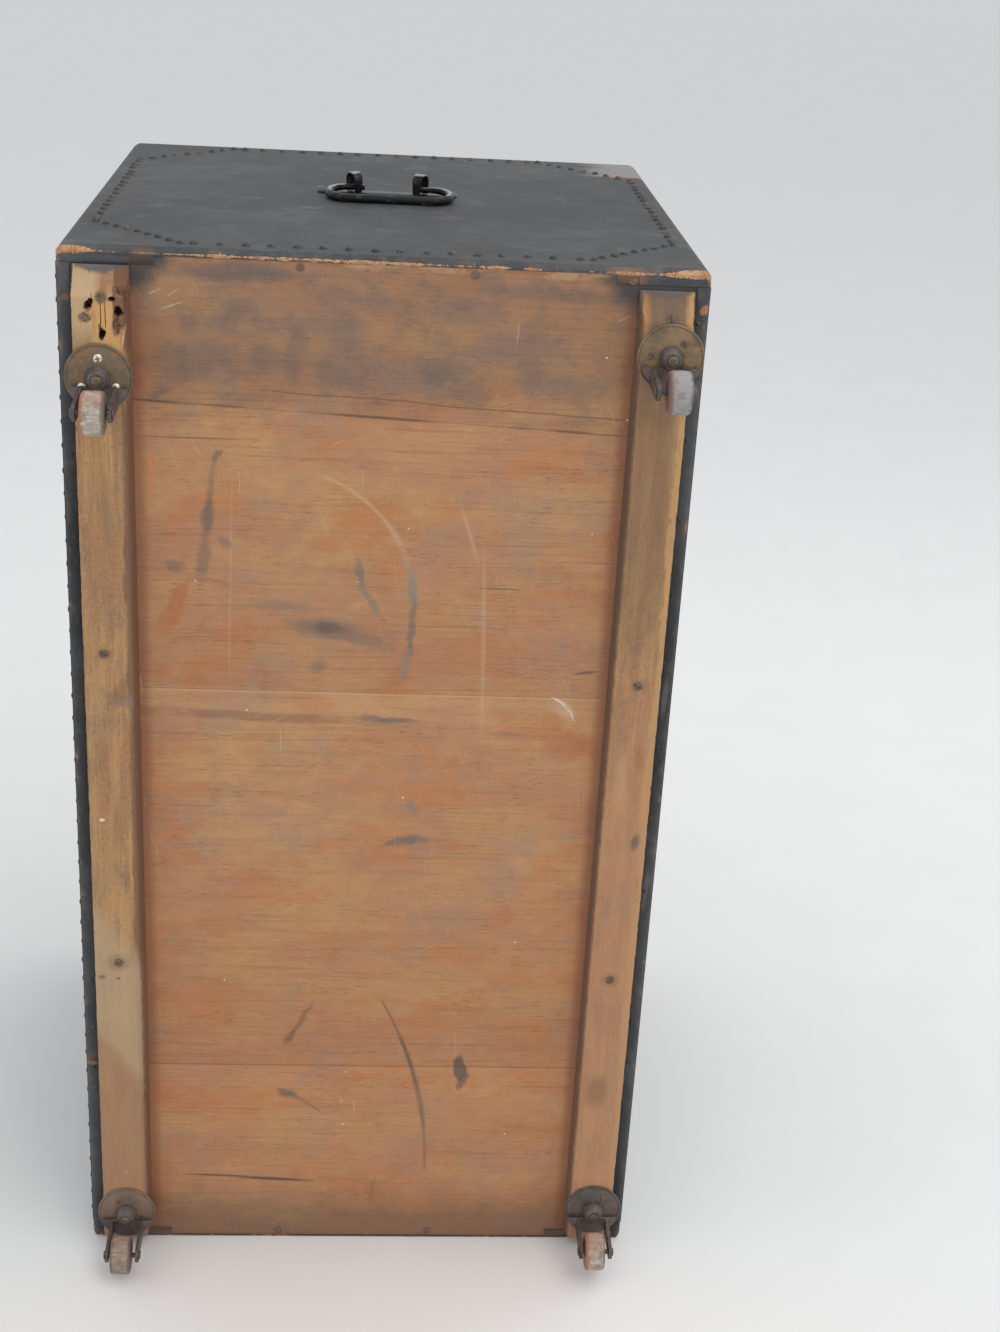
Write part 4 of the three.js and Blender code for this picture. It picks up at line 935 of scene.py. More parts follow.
@dataclass(frozen=True)
class Leathercloth(Finish):
    """Charcoal coated cloth: a fine pebbled grain, dust, scuffs, and edges worn to the wood."""

    low: Point = (-280.0, -277.0, 0.0)
    high: Point = (280.0, 298.0, 1044.0)
    marks: tuple[Mark, ...] = CLOTH_MARKS
    ink: Colour = (0.026, 0.0275, 0.0305)
    dust: Colour = (0.092, 0.095, 0.1)
    scuff: Colour = (0.2, 0.2, 0.205)
    brown: Colour = (0.12, 0.075, 0.055)
    speck: Colour = (0.6, 0.59, 0.55)
    rubbed_corner: Colour = (0.25, 0.245, 0.24)
    rusty_line: Colour = (0.36, 0.2, 0.14)
    dull_edge: Colour = (0.17, 0.11, 0.08)
    bare_rusty: Colour = (0.42, 0.17, 0.075)
    bare_cream: Colour = (0.55, 0.34, 0.18)
    bare_orange: Colour = (0.4, 0.19, 0.08)

    def paint(self, shade: Shade) -> None:
        """Lay dust, scuffs, stains, marks, worn edges and specks.

        Args:
            shade: The material being made.
        """
        pebbles = shade.clouds(1.1, 2, 0.6)
        swell = shade.clouds(70, 3, 0.5, shift=4)
        cloudy = shade.clouds((260, 200, 240), 8, 0.62, shift=17)
        mottle = shade.clouds((26, 26, 26), 5, 0.7, shift=87)
        smears = shade.clouds((48, 36, 44), 7, 0.72, shift=27)
        grit = shade.clouds(2.4, 3, 0.7, shift=47)
        shade.colour = self.ink
        shade.lay(shade.rise(cloudy, 0.34, 0.68) * 0.75, self.dust)
        shade.darken(0.5 + mottle)
        shade.lay(shade.rise(smears, 0.52, 0.76) * 0.3, self.scuff)
        shade.lay(shade.rise(grit, 0.6, 0.72) * 0.3, self.scuff)
        stain = shade.rise(shade.clouds(36, 3, shift=33), 0.6, 0.72)
        shade.lay(stain * 0.2, self.brown)
        unmarked = shade.colour
        shade.stain(self.marks, shade.warped(6, 1.5))
        front = shade.rise(shade.y, self.low[1] + 6, self.low[1] + 3)
        shade.colour = shade.mix(front, unmarked, shade.colour)
        self.wear_corner(shade, mottle)
        self.wear_edges(shade)
        shade.lay(shade.dots(24, 1, 0.24, 5) * 0.7, self.speck)
        gloss = shade.rise(smears, 0.6, 0.75) * 0.1
        roughness = 0.56 + shade.rise(cloudy, 0.35, 0.65) * 0.16 - gloss
        shade.surface(roughness, [(swell, 0.9), (pebbles, 0.07)], IOR=1.4)

    def wear_corner(self, shade: Shade, mottle: Wire) -> None:
        """Rub the upper end's far corner grey, with a rusty line before it.

        Args:
            shade: The material being made.
            mottle: Noise that breaks the rubbing up.
        """
        above = shade.rise(shade.z, self.high[2] - 3, self.high[2] - 1)
        across = shade.rise(shade.x + (mottle - 0.5) * 60, 205, 245) * above
        back = shade.y + (mottle - 0.5) * 6
        shade.lay(across * shade.rise(back, 190, 195) * 0.85, self.rubbed_corner)
        shade.lay(across * shade.between(back, 190, 199, 3) * 0.5, self.rusty_line)

    def wear_edges(self, shade: Shade) -> None:
        """Wear the cloth through along the case's edges.

        Args:
            shade: The material being made.
        """
        (_, low_y, low_z), (high_x, high_y, high_z) = self.low, self.high
        from_side = high_x - abs(shade.x)
        from_face = shade.least(shade.y - low_y, high_y - shade.y)
        from_end = shade.least(shade.z - low_z, high_z - shade.z)
        furthest = shade.most(from_side, shade.most(from_face, from_end))
        off_edge = from_side + from_face + from_end - furthest
        ragged = shade.clouds((20, 20, 20), 4, 0.65, shift=37)
        fine = shade.clouds(2.6, 3, 0.65, shift=41)
        reach = shade.rise(ragged, 0.46, 0.66) * 4.4 + fine * 2 - 1.8
        worn = shade.rise(off_edge - reach, 0.8, -0.8)
        dull = shade.rise(off_edge - reach, 5, 0)
        upper = self.upper_edge(shade, from_face, fine, ragged)
        bare = shade.mix(shade.rise(fine, 0.4, 0.58), self.bare_rusty, self.bare_cream)
        bare = shade.mix(shade.rise(ragged, 0.5, 0.62) * 0.7, bare, self.bare_orange)
        shade.lay(dull * 0.35, self.dull_edge)
        shade.lay(shade.most(worn, upper) * 0.95, bare)

    def upper_edge(self, shade: Shade, from_face: Wire, fine: Wire, ragged: Wire) -> Wire:
        """Give the wear along the edge between the upper end and the bottom face.

        Args:
            shade: The material being made.
            from_face: The distance from the bottom face or the lid's face.
            fine: Fine noise that roughens the wear.
            ragged: Coarser noise that widens and narrows it.

        Returns:
            The wear's mask.
        """
        low_y, (high_x, _, high_z) = self.low[1], self.high
        slip = high_z - shade.z - from_face
        slow = shade.clouds((60, 300, 300), 2, 0.6, shift=57)
        at_corner = shade.rise(abs(shade.x), high_x - 46, high_x - 14)
        half = shade.rise(slow, 0.36, 0.6) * 1.8 - 0.2 + at_corner * 3.6
        half = half + (fine - 0.5) * 3.4 + (ragged - 0.5) * 5
        middle = 3.8 - at_corner * 2.2
        here = shade.rise(abs(slip - middle) - half, 0.5, -0.5)
        front = shade.rise(shade.y, low_y + 9, low_y + 6)
        return here * front * shade.rise(shade.z, high_z - 16, high_z - 12)


@dataclass(frozen=True)
class BlackIron(Finish):
    """Black painted iron, rubbed to grey where hands and rings touch it; above a set height, a painted
    highlight in the same grey.
    """

    name: str = "fittings"
    black: Colour = (0.008, 0.008, 0.009)
    # Above this height a part gets a painted highlight: a band in the bare colour.
    rubbed_above: float = 9000.0
    bare: Colour = (0.34, 0.34, 0.345)
    rust: Colour = (0.1, 0.06, 0.04)

    def paint(self, shade: Shade) -> None:
        """Lay paint, rubbed metal, a painted highlight along the top and a little rust.

        Args:
            shade: The material being made.
        """
        rubbed = shade.clouds((16, 5, 5), 4, 0.65)
        pits = shade.clouds(2, 3, 0.6, shift=8)
        patchy = shade.rise(rubbed, 0.56, 0.72) * 0.3
        level = shade.z + (rubbed - 0.5) * 3
        # The band above the set height is a painted highlight in the bare colour; the patches are rubbed
        # metal.
        bare = shade.most(patchy, shade.rise(level, self.rubbed_above, self.rubbed_above + 0.8))
        shade.colour = self.black
        shade.lay(bare, self.bare)
        shade.lay(shade.rise(shade.clouds(14, 3, shift=13), 0.62, 0.7) * 0.3, self.rust)
        roughness = 0.26 + pits * 0.16 - bare * 0.04
        shade.surface(roughness, [(pits, 0.1)], Metallic=bare * 0.8, IOR=1.3)


@dataclass(frozen=True)
class RustyIron(Finish):
    """Old iron, brown with rust over dark metal, each piece with its own tones."""

    name: str = "fork"
    dark: Colour = (0.08, 0.072, 0.07)
    brown: Colour = (0.15, 0.117, 0.105)
    orange: Colour = (0.2, 0.11, 0.075)
    rust: float = 0.5
    grey_below: float = 0.0
    grey: Colour = (0.07, 0.066, 0.066)

    def paint(self, shade: Shade) -> None:
        """Lay rust in soft patches, streaks and pits.

        Args:
            shade: The material being made.
        """
        patches = shade.clouds(17, 5, 0.6)
        blooms = shade.clouds(7, 5, 0.68, shift=9)
        pits = shade.clouds(1.3, 3, 0.6, shift=17)
        streaks = shade.clouds((1.6, 4, 9), 3, 0.6, shift=25)
        shade.colour = self.dark
        shade.lay(shade.rise(patches, 0.32, 0.64), self.brown)
        shade.lay(shade.rise(blooms, 0.5, 0.7) * self.rust, self.orange)
        level = shade.z + (patches - 0.5) * 20
        shade.lay(shade.rise(level, self.grey_below, self.grey_below - 8) * 0.85, self.grey)
        shade.darken(0.66 + pits * 0.42 + streaks * 0.24)
        dusty = shade.rise(blooms, 0.32, 0.44)
        roughness = 0.62 - dusty * 0.16 + shade.rise(blooms, 0.5, 0.7) * 0.16
        shade.surface(roughness, [(pits, 0.2), (blooms, 0.25)], Metallic=0.35)


@dataclass(frozen=True)
class WheelFibre(Finish):
    """Worn hard fibre of a caster wheel: its tread, its rusty rims and its faces."""

    tread: Colour = (0.3, 0.285, 0.29)
    scuff: Colour = (0.44, 0.42, 0.42)
    rim: Colour = (0.22, 0.13, 0.1)
    scuffed: float = 0.4
    rusty_top: float = 0.0
    chips: float = 0.0
    centre: Point = (0.0, 0.0, 0.0)
    half_width: float = 6.0
    grime: Colour = (0.17, 0.13, 0.11)
    line: Colour = (0.1, 0.08, 0.07)
    rust: Colour = (0.33, 0.13, 0.08)
    dark_rim: Colour = (0.12, 0.085, 0.07)

    def paint(self, shade: Shade) -> None:
        """Lay scuffs, grime, lines, rust and the two rims.

        Args:
            shade: The material being made.
        """
        mid_x, _, mid_z = self.centre
        across = shade.x - mid_x
        ragged = shade.clouds(4, 4, 0.65, shift=self.chips)
        scuffs = shade.clouds((9, 3, 1.8), 4, 0.65, shift=self.chips + 5)
        grime = shade.clouds((7, 7, 9), 4, 0.6, shift=self.chips + 12)
        lines = shade.clouds((14, 1, 0.8), 2, 0.6, shift=self.chips + 22)
        shade.colour = self.tread
        shade.lay(shade.rise(scuffs, 0.5, 0.66) * self.scuffed, self.scuff)
        shade.lay(shade.rise(grime, 0.48, 0.68) * 0.6, self.grime)
        shade.lay(shade.rise(lines, 0.62, 0.7) * 0.5 * self.scuffed, self.line)
        upper = shade.rise(shade.z - mid_z + (ragged - 0.5) * 12, 8, 13)
        shade.lay(upper * self.rusty_top, self.rust)
        uneven = (ragged - 0.5) * 8
        left = shade.rise(uneven - across, self.half_width - 4.4, self.half_width - 2)
        right = shade.rise(uneven + across, self.half_width - 3, self.half_width - 1.2)
        shade.lay(left * 0.85, self.rim)
        shade.lay(right * 0.7, self.dark_rim)
        shade.surface(0.5 + grime * 0.3, [(ragged, 0.5), (scuffs, 0.2)])


@dataclass(frozen=True)
class WornBrass(Finish):
    """Brass gone brown, with bright rubbed places."""

    brown: Colour = (0.19, 0.13, 0.06)
    dark: Colour = (0.07, 0.052, 0.032)
    bright: Colour = (0.3, 0.22, 0.11)

    def paint(self, shade: Shade) -> None:
        """Lay tarnish and rubbed metal.

        Args:
            shade: The material being made.
        """
        tarnish = shade.clouds(16, 4, 0.6)
        rubbed = shade.rise(shade.clouds(7, 4, 0.65, shift=6), 0.5, 0.66)
        pits = shade.clouds(1, 2, 0.6, shift=17)
        shade.colour = self.brown
        shade.lay(shade.rise(tarnish, 0.36, 0.62), self.dark)
        shade.lay(rubbed * 0.4, self.bright)
        shade.surface(0.42 - rubbed * 0.12 + pits * 0.1, [(pits, 0.06)], Metallic=0.9)


@dataclass(frozen=True)
class NailMetal(Finish):
    """Domed nail heads, mostly blackened, some showing brass or rust."""

    black: Colour = (0.045, 0.045, 0.046)
    brown: Colour = (0.11, 0.083, 0.052)
    brass: Colour = (0.36, 0.29, 0.19)

    def paint(self, shade: Shade) -> None:
        """Lay tones coarse enough to differ from nail to nail, and chips.

        Args:
            shade: The material being made.
        """
        each = shade.clouds(11, 1, 0.5, shift=3)
        chips = shade.clouds(2.2, 3, 0.6, shift=12)
        shade.colour = self.black
        shade.lay(shade.rise(each, 0.52, 0.66), self.brown)
        shade.lay(shade.rise(chips, 0.6, 0.7) * 0.6, self.brass)
        shade.surface(0.4 + chips * 0.2, [(chips, 0.12)], Metallic=0.45)


@dataclass(frozen=True)
class RustySteel(Finish):
    """Old screws and board nails, brown all over."""

    dark: Colour = (0.14, 0.095, 0.073)
    light: Colour = (0.22, 0.138, 0.096)

    def paint(self, shade: Shade) -> None:
        """Lay two browns and pits.

        Args:
            shade: The material being made.
        """
        pits = shade.clouds(0.8, 2, 0.6, shift=17)
        shade.colour = self.dark
        shade.lay(shade.rise(shade.clouds(3, 3, 0.6), 0.42, 0.6), self.light)
        shade.surface(0.6 + pits * 0.2, [(pits, 0.15)], Metallic=0.3)


@dataclass(frozen=True)
class BrightSteel(Finish):
    """New plated screws, the only clean metal on the trunk."""

    plating: Colour = (0.86, 0.84, 0.76)
    yellowed: Colour = (0.66, 0.6, 0.46)

    def paint(self, shade: Shade) -> None:
        """Lay a faint haze.

        Args:
            shade: The material being made.
        """
        haze = shade.clouds(2, 2, 0.6)
        shade.colour = self.plating
        shade.lay(shade.rise(haze, 0.4, 0.7), self.yellowed)
        shade.surface(0.2 + haze * 0.16, [(haze, 0.03)], Metallic=1)


@dataclass(frozen=True)
class FloorPaint(Finish):
    """Plain pale floor, a little greyer behind the trunk and paler towards the horizon."""

    near: Colour = (0.83, 0.83, 0.825)
    far: Colour = (0.75, 0.75, 0.75)
    furthest: Colour = (0.98, 0.98, 0.98)

    def paint(self, shade: Shade) -> None:
        """Lay the three greys and a faint mottling.

        Args:
            shade: The material being made.
        """
        mottle = shade.clouds((160, 160, 160), 5, 0.6)
        shade.colour = self.near
        shade.lay(shade.rise(shade.y, 900, 3200), self.far)
        away = shade.most(abs(shade.x), abs(shade.y))
        shade.lay(shade.rise(away, 14000, 60000), self.furthest)
        shade.darken(0.97 + mottle * 0.06)
        shade.surface(0.75)


def moved(mesh: Mesh, place: Matrix) -> Mesh:
    """Return the mesh after all its points went through a matrix."""
    bmesh.ops.transform(mesh, matrix=place, verts=mesh.verts)
    return mesh


def joined(parts: Iterable[Mesh]) -> Mesh:
    """Put several meshes into one.

    Args:
        parts: The meshes, which are used up.

    Returns:
        One mesh that holds them all.
    """
    whole = bmesh.new()
    for part in parts:
        plain = bpy.data.meshes.new("part")
        part.to_mesh(plain)
        part.free()
        whole.from_mesh(plain)
        bpy.data.meshes.remove(plain)
    return whole


def rounded(mesh: Mesh, width: float, segments: int = 2, angle: float = 32) -> Mesh:
    """Round a mesh's sharp edges.

    Args:
        mesh: The mesh.
        width: The rounding's width in millimetres.
        segments: The number of steps across it.
        angle: The least angle of an edge that counts as sharp.

    Returns:
        The same mesh.
    """
    limit = math.radians(angle)
    sharp = [e for e in mesh.edges if e.is_manifold and e.calc_face_angle(0) > limit]
    bmesh.ops.bevel(
        mesh,
        geom=sharp,
        offset=width,
        offset_type="OFFSET",
        segments=segments,
        profile=0.5,
        affect="EDGES",
        clamp_overlap=True,
        material=-1,
    )
    return mesh


def turned(profile: Outline, steps: int) -> Mesh:
    """Spin a profile about Z into a closed solid.

    Args:
        profile: Points of radius and height, from the lower end to the upper.
        steps: The number of steps round.

    Returns:
        The solid, its faces pointing outwards.
    """
    mesh = bmesh.new()
    line = [mesh.verts.new((radius, 0, height)) for radius, height in profile]
    edges = [mesh.edges.new(pair) for pair in zip(line, line[1:])]
    bmesh.ops.spin(
        mesh,
        geom=[*line, *edges],
        cent=(0, 0, 0),
        axis=UP,
        angle=math.tau,
        steps=steps,
        use_merge=True,
    )
    bmesh.ops.remove_doubles(mesh, verts=mesh.verts, dist=0.0005)
    bmesh.ops.recalc_face_normals(mesh, faces=mesh.faces)
    return mesh


def raised(mesh: Mesh, faces: Sequence[bmesh.types.BMFace], height: float) -> None:
    """Extrude faces along Z.

    Args:
        mesh: The mesh.
        faces: The faces.
        height: How far they go up.
    """
    pushed = bmesh.ops.extrude_face_region(mesh, geom=faces)["geom"]
    verts = [v for v in pushed if isinstance(v, bmesh.types.BMVert)]
    bmesh.ops.translate(mesh, vec=(0, 0, height), verts=verts)


def facing(direction: Point, at: Point, turn: float = 0) -> Matrix:
    """Give the matrix that stands a piece made along +Z on a surface.

    Args:
        direction: The surface's outward direction.
        at: Where the piece stands.
        turn: How far it is turned about its own axis.

    Returns:
        The matrix.
    """
    aim = Vector(UP).rotation_difference(Vector(direction)).to_matrix().to_4x4()
    return Matrix.Translation(at) @ aim @ Matrix.Rotation(math.radians(turn), 4, "Z")


def sliced(mesh: Mesh, point: Point, direction: Point) -> None:
    """Cut a mesh's faces along a plane."""
    everything = [*mesh.verts, *mesh.edges, *mesh.faces]
    bmesh.ops.bisect_plane(mesh, geom=everything, plane_co=point, plane_no=direction)


@dataclass
class Workshop:
    """Turns finished meshes into pieces that ride on the frame's bodies."""

    paints: dict[str, bpy.types.Material] = field(default_factory=dict)
    made: int = 0

    def paint(self, finish: Finish) -> bpy.types.Material:
        """Give the finish's material, the same one each time.

        Args:
            finish: The finish.

        Returns:
            Its material.
        """
        if finish.title not in self.paints:
            self.paints[finish.title] = finish.made()
        return self.paints[finish.title]

    def add(
        self,
        name: str,
        mesh: Mesh,
        finish: Finish,
        slot: Slot,
        body: str = "case",
        replaces: Sequence[str] = (),
        smooth: float = 35.0,
    ) -> bpy.types.Object:
        """Make a piece from a mesh in millimetres.

        Args:
            name: The piece's name.
            mesh: The mesh, which is used up.
            finish: What it is finished with.
            slot: The record's slot for that finish; not used.
            body: The body that it rides on.
            replaces: The frame nodes that it stands for.
            smooth: Edges sharper than this stay sharp.

        Returns:
            The piece.
        """
        moved(mesh, Matrix.Scale(MM, 4))
        data = bpy.data.meshes.new(name)
        mesh.to_mesh(data)
        mesh.free()
        data.polygons.foreach_set("use_smooth", [True] * len(data.polygons))
        data.set_sharp_from_angle(angle=math.radians(smooth))
        data.materials.append(self.paint(finish))
        piece = bpy.data.objects.new(name, data)
        bpy.context.scene.collection.objects.link(piece)
        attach(piece, body)
        if replaces:
            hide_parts(*replaces)
        self.made += 1
        log.info("%s: %d faces on %s", name, len(data.polygons), body)
        return piece

    def stand_in(
        self, node: str, mesh: Mesh, finish: Finish, slot: Slot, smooth: float = 35
    ) -> bpy.types.Object:
        """Return a piece that replaces one frame node and rides on the same body."""
        return self.add(f"{node}_worn", mesh, finish, slot, body_of(node), (node,), smooth)

    def copy(self, node: str) -> Mesh:
        """Copy a frame node's mesh, merged into whole flat faces, in millimetres.

        Args:
            node: The node's name.

        Returns:
            The copy.
        """
        mesh = bmesh.new()
        mesh.from_mesh(frame["nodes"][node].data)
        moved(mesh, Matrix.Scale(PER_MM, 4))
        bmesh.ops.remove_doubles(mesh, verts=mesh.verts, dist=0.002)
        bmesh.ops.dissolve_limit(
            mesh, angle_limit=math.radians(1), verts=mesh.verts, edges=mesh.edges
        )
        return mesh

    def refine(
        self, node: str, width: float, finish: Finish, slot: Slot, smooth: float = 35
    ) -> None:
        """Replace a frame node by a copy whose edges are rounded to a width in millimetres."""
        self.stand_in(node, rounded(self.copy(node), width), finish, slot, smooth)

    def dress(self, node: str, finish: Finish) -> None:
        """Give a frame node that stays a finish of its own.

        Args:
            node: The node's name.
            finish: The finish.
        """
        data = frame["nodes"][node].data
        data.materials.clear()
        data.materials.append(self.paint(finish))
        log.info("%s: dressed", node)


@dataclass
class Screw:
    """A screw's head, made along +Z on its seat."""

    radius: float = 4.2
    rise: float = 1.1
    recess: Recess = Recess.SLOT
    slot_width: float = 1.1
    slot_depth: float = 0.9
    cross_reach: float = 0.56
    cross_depth: float = 1.4
    steps: int = 20

    def head(self) -> Mesh:
        """Make the head and press its recess in.

        Returns:
            The head.
        """
        profile = (
            (0, -0.5),
            (self.radius, -0.5),
            (self.radius, 0.2),
            (self.radius * 0.86, self.rise * 0.62),
            (self.radius * 0.5, self.rise * 0.95),
            (0, self.rise),
        )
        mesh = turned(profile, self.steps)
        half = self.slot_width / 2
        x_axis, y_axis = (1, 0, 0), (0, 1, 0)
        across = [(x_axis, -half), (x_axis, half)]
        if self.recess is Recess.SLOT:
            return self.pressed(mesh, across, lambda p: abs(p.x) < half, self.slot_depth)
        reach = self.radius * self.cross_reach
        along = [(y_axis, -half), (y_axis, half)]
        ends = [(axis, side * reach) for axis in (x_axis, y_axis) for side in (-1, 1)]

        def in_cross(point: Vector) -> bool:
            """Return whether a point lies in the cross."""
            low, high = sorted((abs(point.x), abs(point.y)))
            return low < half and high < reach

        depth = self.slot_depth * self.cross_depth
        return self.pressed(mesh, [*across, *along, *ends], in_cross, depth)

    def pressed(
        self,
        mesh: Mesh,
        cuts: Sequence[tuple[Point, float]],
        inside: Callable[[Vector], bool],
        depth: float,
    ) -> Mesh:
        """Press a recess into the upper faces of a mesh.

        Args:
            mesh: The mesh, made along +Z.
            cuts: Planes that the recess's sides lie on, as a direction and a distance.
            inside: Says whether a point lies in the recess.
            depth: How deep it is.

        Returns:
            The same mesh.
        """
        for direction, distance in cuts:
            sliced(mesh, Vector(direction) * distance, direction)
        mesh.normal_update()
        upper = [
            f for f in mesh.faces if f.normal.z > 0.2 and inside(f.calc_center_median())
        ]
        raised(mesh, upper, -depth)
        bmesh.ops.delete(mesh, geom=upper, context="FACES")
        return mesh

    def at(self, place: Point, direction: Point, turn: float = 0) -> Mesh:
        """Return the head on a surface, turned about its own axis."""
        return moved(self.head(), facing(direction, place, turn))


@dataclass
class NailRows:
    """Rows of domed nails, each a little different, from one seeded draw."""

    seed: int
    radius: float = 3.7
    rise: float = 2.5
    steps: int = 10
    stray: float = 0.8
    lean: float = 6.0
    meshes: list[Mesh] = field(default_factory=list)

    def __post_init__(self) -> None:
        """Start the seeded draw."""
        self.draw = random.Random(self.seed)

    def nail(self, place: Point, direction: Point) -> None:
        """Add one nail on a surface.

        Args:
            place: Where it stands.
            direction: The surface's outward direction.
        """
        radius = self.radius * self.draw.uniform(0.9, 1.08)
        rise = self.rise * self.draw.uniform(0.85, 1.1)
        profile = (
            (radius * 0.92, -0.4),
            (radius, 0.25),
            (radius * 0.72, rise * 0.68),
            (radius * 0.34, rise * 0.95),
            (0, rise),
        )
        mesh = turned(profile, self.steps)
        lean = math.radians(self.draw.uniform(-self.lean, self.lean))
        stand = facing(direction, place, self.draw.uniform(0, 360))
        self.meshes.append(moved(mesh, stand @ Matrix.Rotation(lean, 4, "X")))

    def row(self, start: Point, end: Point, pitch: float, direction: Point) -> None:
        """Add a row of nails.

        Args:
            start: The first nail's place.
            end: The last nail's place.
            pitch: The distance between nails, which is stretched to fit.
            direction: The surface's outward direction.
        """
        first, last = Vector(start), Vector(end)
        gaps = max(1, round((last - first).length / pitch))
        normal = Vector(direction)
        for i in range(gaps + 1):
            off = Vector([self.draw.uniform(-self.stray, self.stray) for _ in range(3)])
            off -= normal * off.dot(normal)
            self.nail(first.lerp(last, i / gaps) + off, direction)

    def whole(self) -> Mesh:
        """Return all the nails as one mesh."""
        return joined(self.meshes)


@dataclass
class BottomFace:
    """The four boards of the bottom face, with the nails that hold them."""

    shop: Workshop
    names: Sequence[str] = tuple(f"bottom_board_{i}" for i in range(1, 5))
    edge_rounding: float = 0.25
    joint_below: float = 0.3
    joint_reach: float = 2.0
    gap_share_closed: float = 0.75
    joint_slope: float = -0.041
    upper_nails: Sequence[float] = (-74, 76, 212)
    upper_nail_drop: float = 9.7
    lower_nails: Sequence[float] = (-86, 72)
    lower_nail_rise: float = 8.0

    def build(self) -> None:
        """Make the boards and their nails."""
        joints = [box_of(name)[0].z - self.joint_below for name in self.names[1:]]
        for i, name in enumerate(self.names):
            mesh = rounded(self.narrowed(self.shop.copy(name), joints), self.edge_rounding)
            low, high = box_of(name)
            finish = BoardWood(str(i + 1), low.z, high.z)
            self.shop.stand_in(name, mesh, finish, Slot.BOARD_WOOD)
        self.nail()

    def narrowed(self, mesh: Mesh, joints: Sequence[float]) -> Mesh:
        """Narrow the gaps beside a board, and slant the uppermost joint.

        Args:
            mesh: The board's copy.
            joints: The joints' heights.

        Returns:
            The same mesh.
        """
        for vert in mesh.verts:
            joint_z = min(joints, key=lambda z: abs(vert.co.z - z))
            if abs(vert.co.z - joint_z) > self.joint_reach:
                continue
            vert.co.z += (joint_z - vert.co.z) * self.gap_share_closed
            if joint_z == joints[-1]:
                vert.co.z += vert.co.x * self.joint_slope
        return mesh

    def nail(self) -> None:
        """Nail the boards along the upper and the lower end."""
        nails = NailRows(seed=3, radius=4, rise=0.9, steps=14)
        face_y = box_of(self.names[0])[0].y
        upper_z = box_of(self.names[-1])[1].z - self.upper_nail_drop
        for x in self.upper_nails:
            nails.nail((x, face_y, upper_z), FRONT)
        for x in self.lower_nails:
            nails.nail((x, face_y, self.lower_nail_rise), FRONT)
        self.shop.add("board_nails", nails.whole(), RustySteel(), Slot.RUSTY_IRON)


@dataclass(frozen=True)
class Pit:
    """A worm hole or torn hollow in a batten's face."""

    x: float
    z: float
    half_width: float
    half_length: float
    depth: float


HINGE_SIDE_PITS = (
    Pit(-251.6, 997.4, 3.6, 4.4, 8),
    Pit(-249, 1001.6, 2.6, 2.8, 7),
    Pit(-254.2, 987.2, 4.6, 3.8, 2.4),
    Pit(-231, 1003.6, 3, 2, 7),
    Pit(-226.2, 993, 3.6, 4.2, 9),
    Pit(-227.4, 980.5, 3.8, 7, 2.4),
    Pit(-240, 973, 2.8, 5.4, 9),
    Pit(-241.8, 979, 1.5, 4, 3.5),
    Pit(-240.8, 990, 0.45, 14, 4),
    Pit(-237, 989, 0.45, 13, 4),
    Pit(-248.4, 1006, 0.4, 8, 3),
    Pit(-222, 1010, 7, 15, 3.6),
    Pit(-219, 985, 1.6, 14, 3),
    Pit(-216.5, 1004, 2.6, 30, 6),
)
LOCK_SIDE_PITS = (Pit(268.0, 1003.0, 4.5, 9.0, 9.0), Pit(269.5, 986.0, 3.0, 7.0, 8.0))


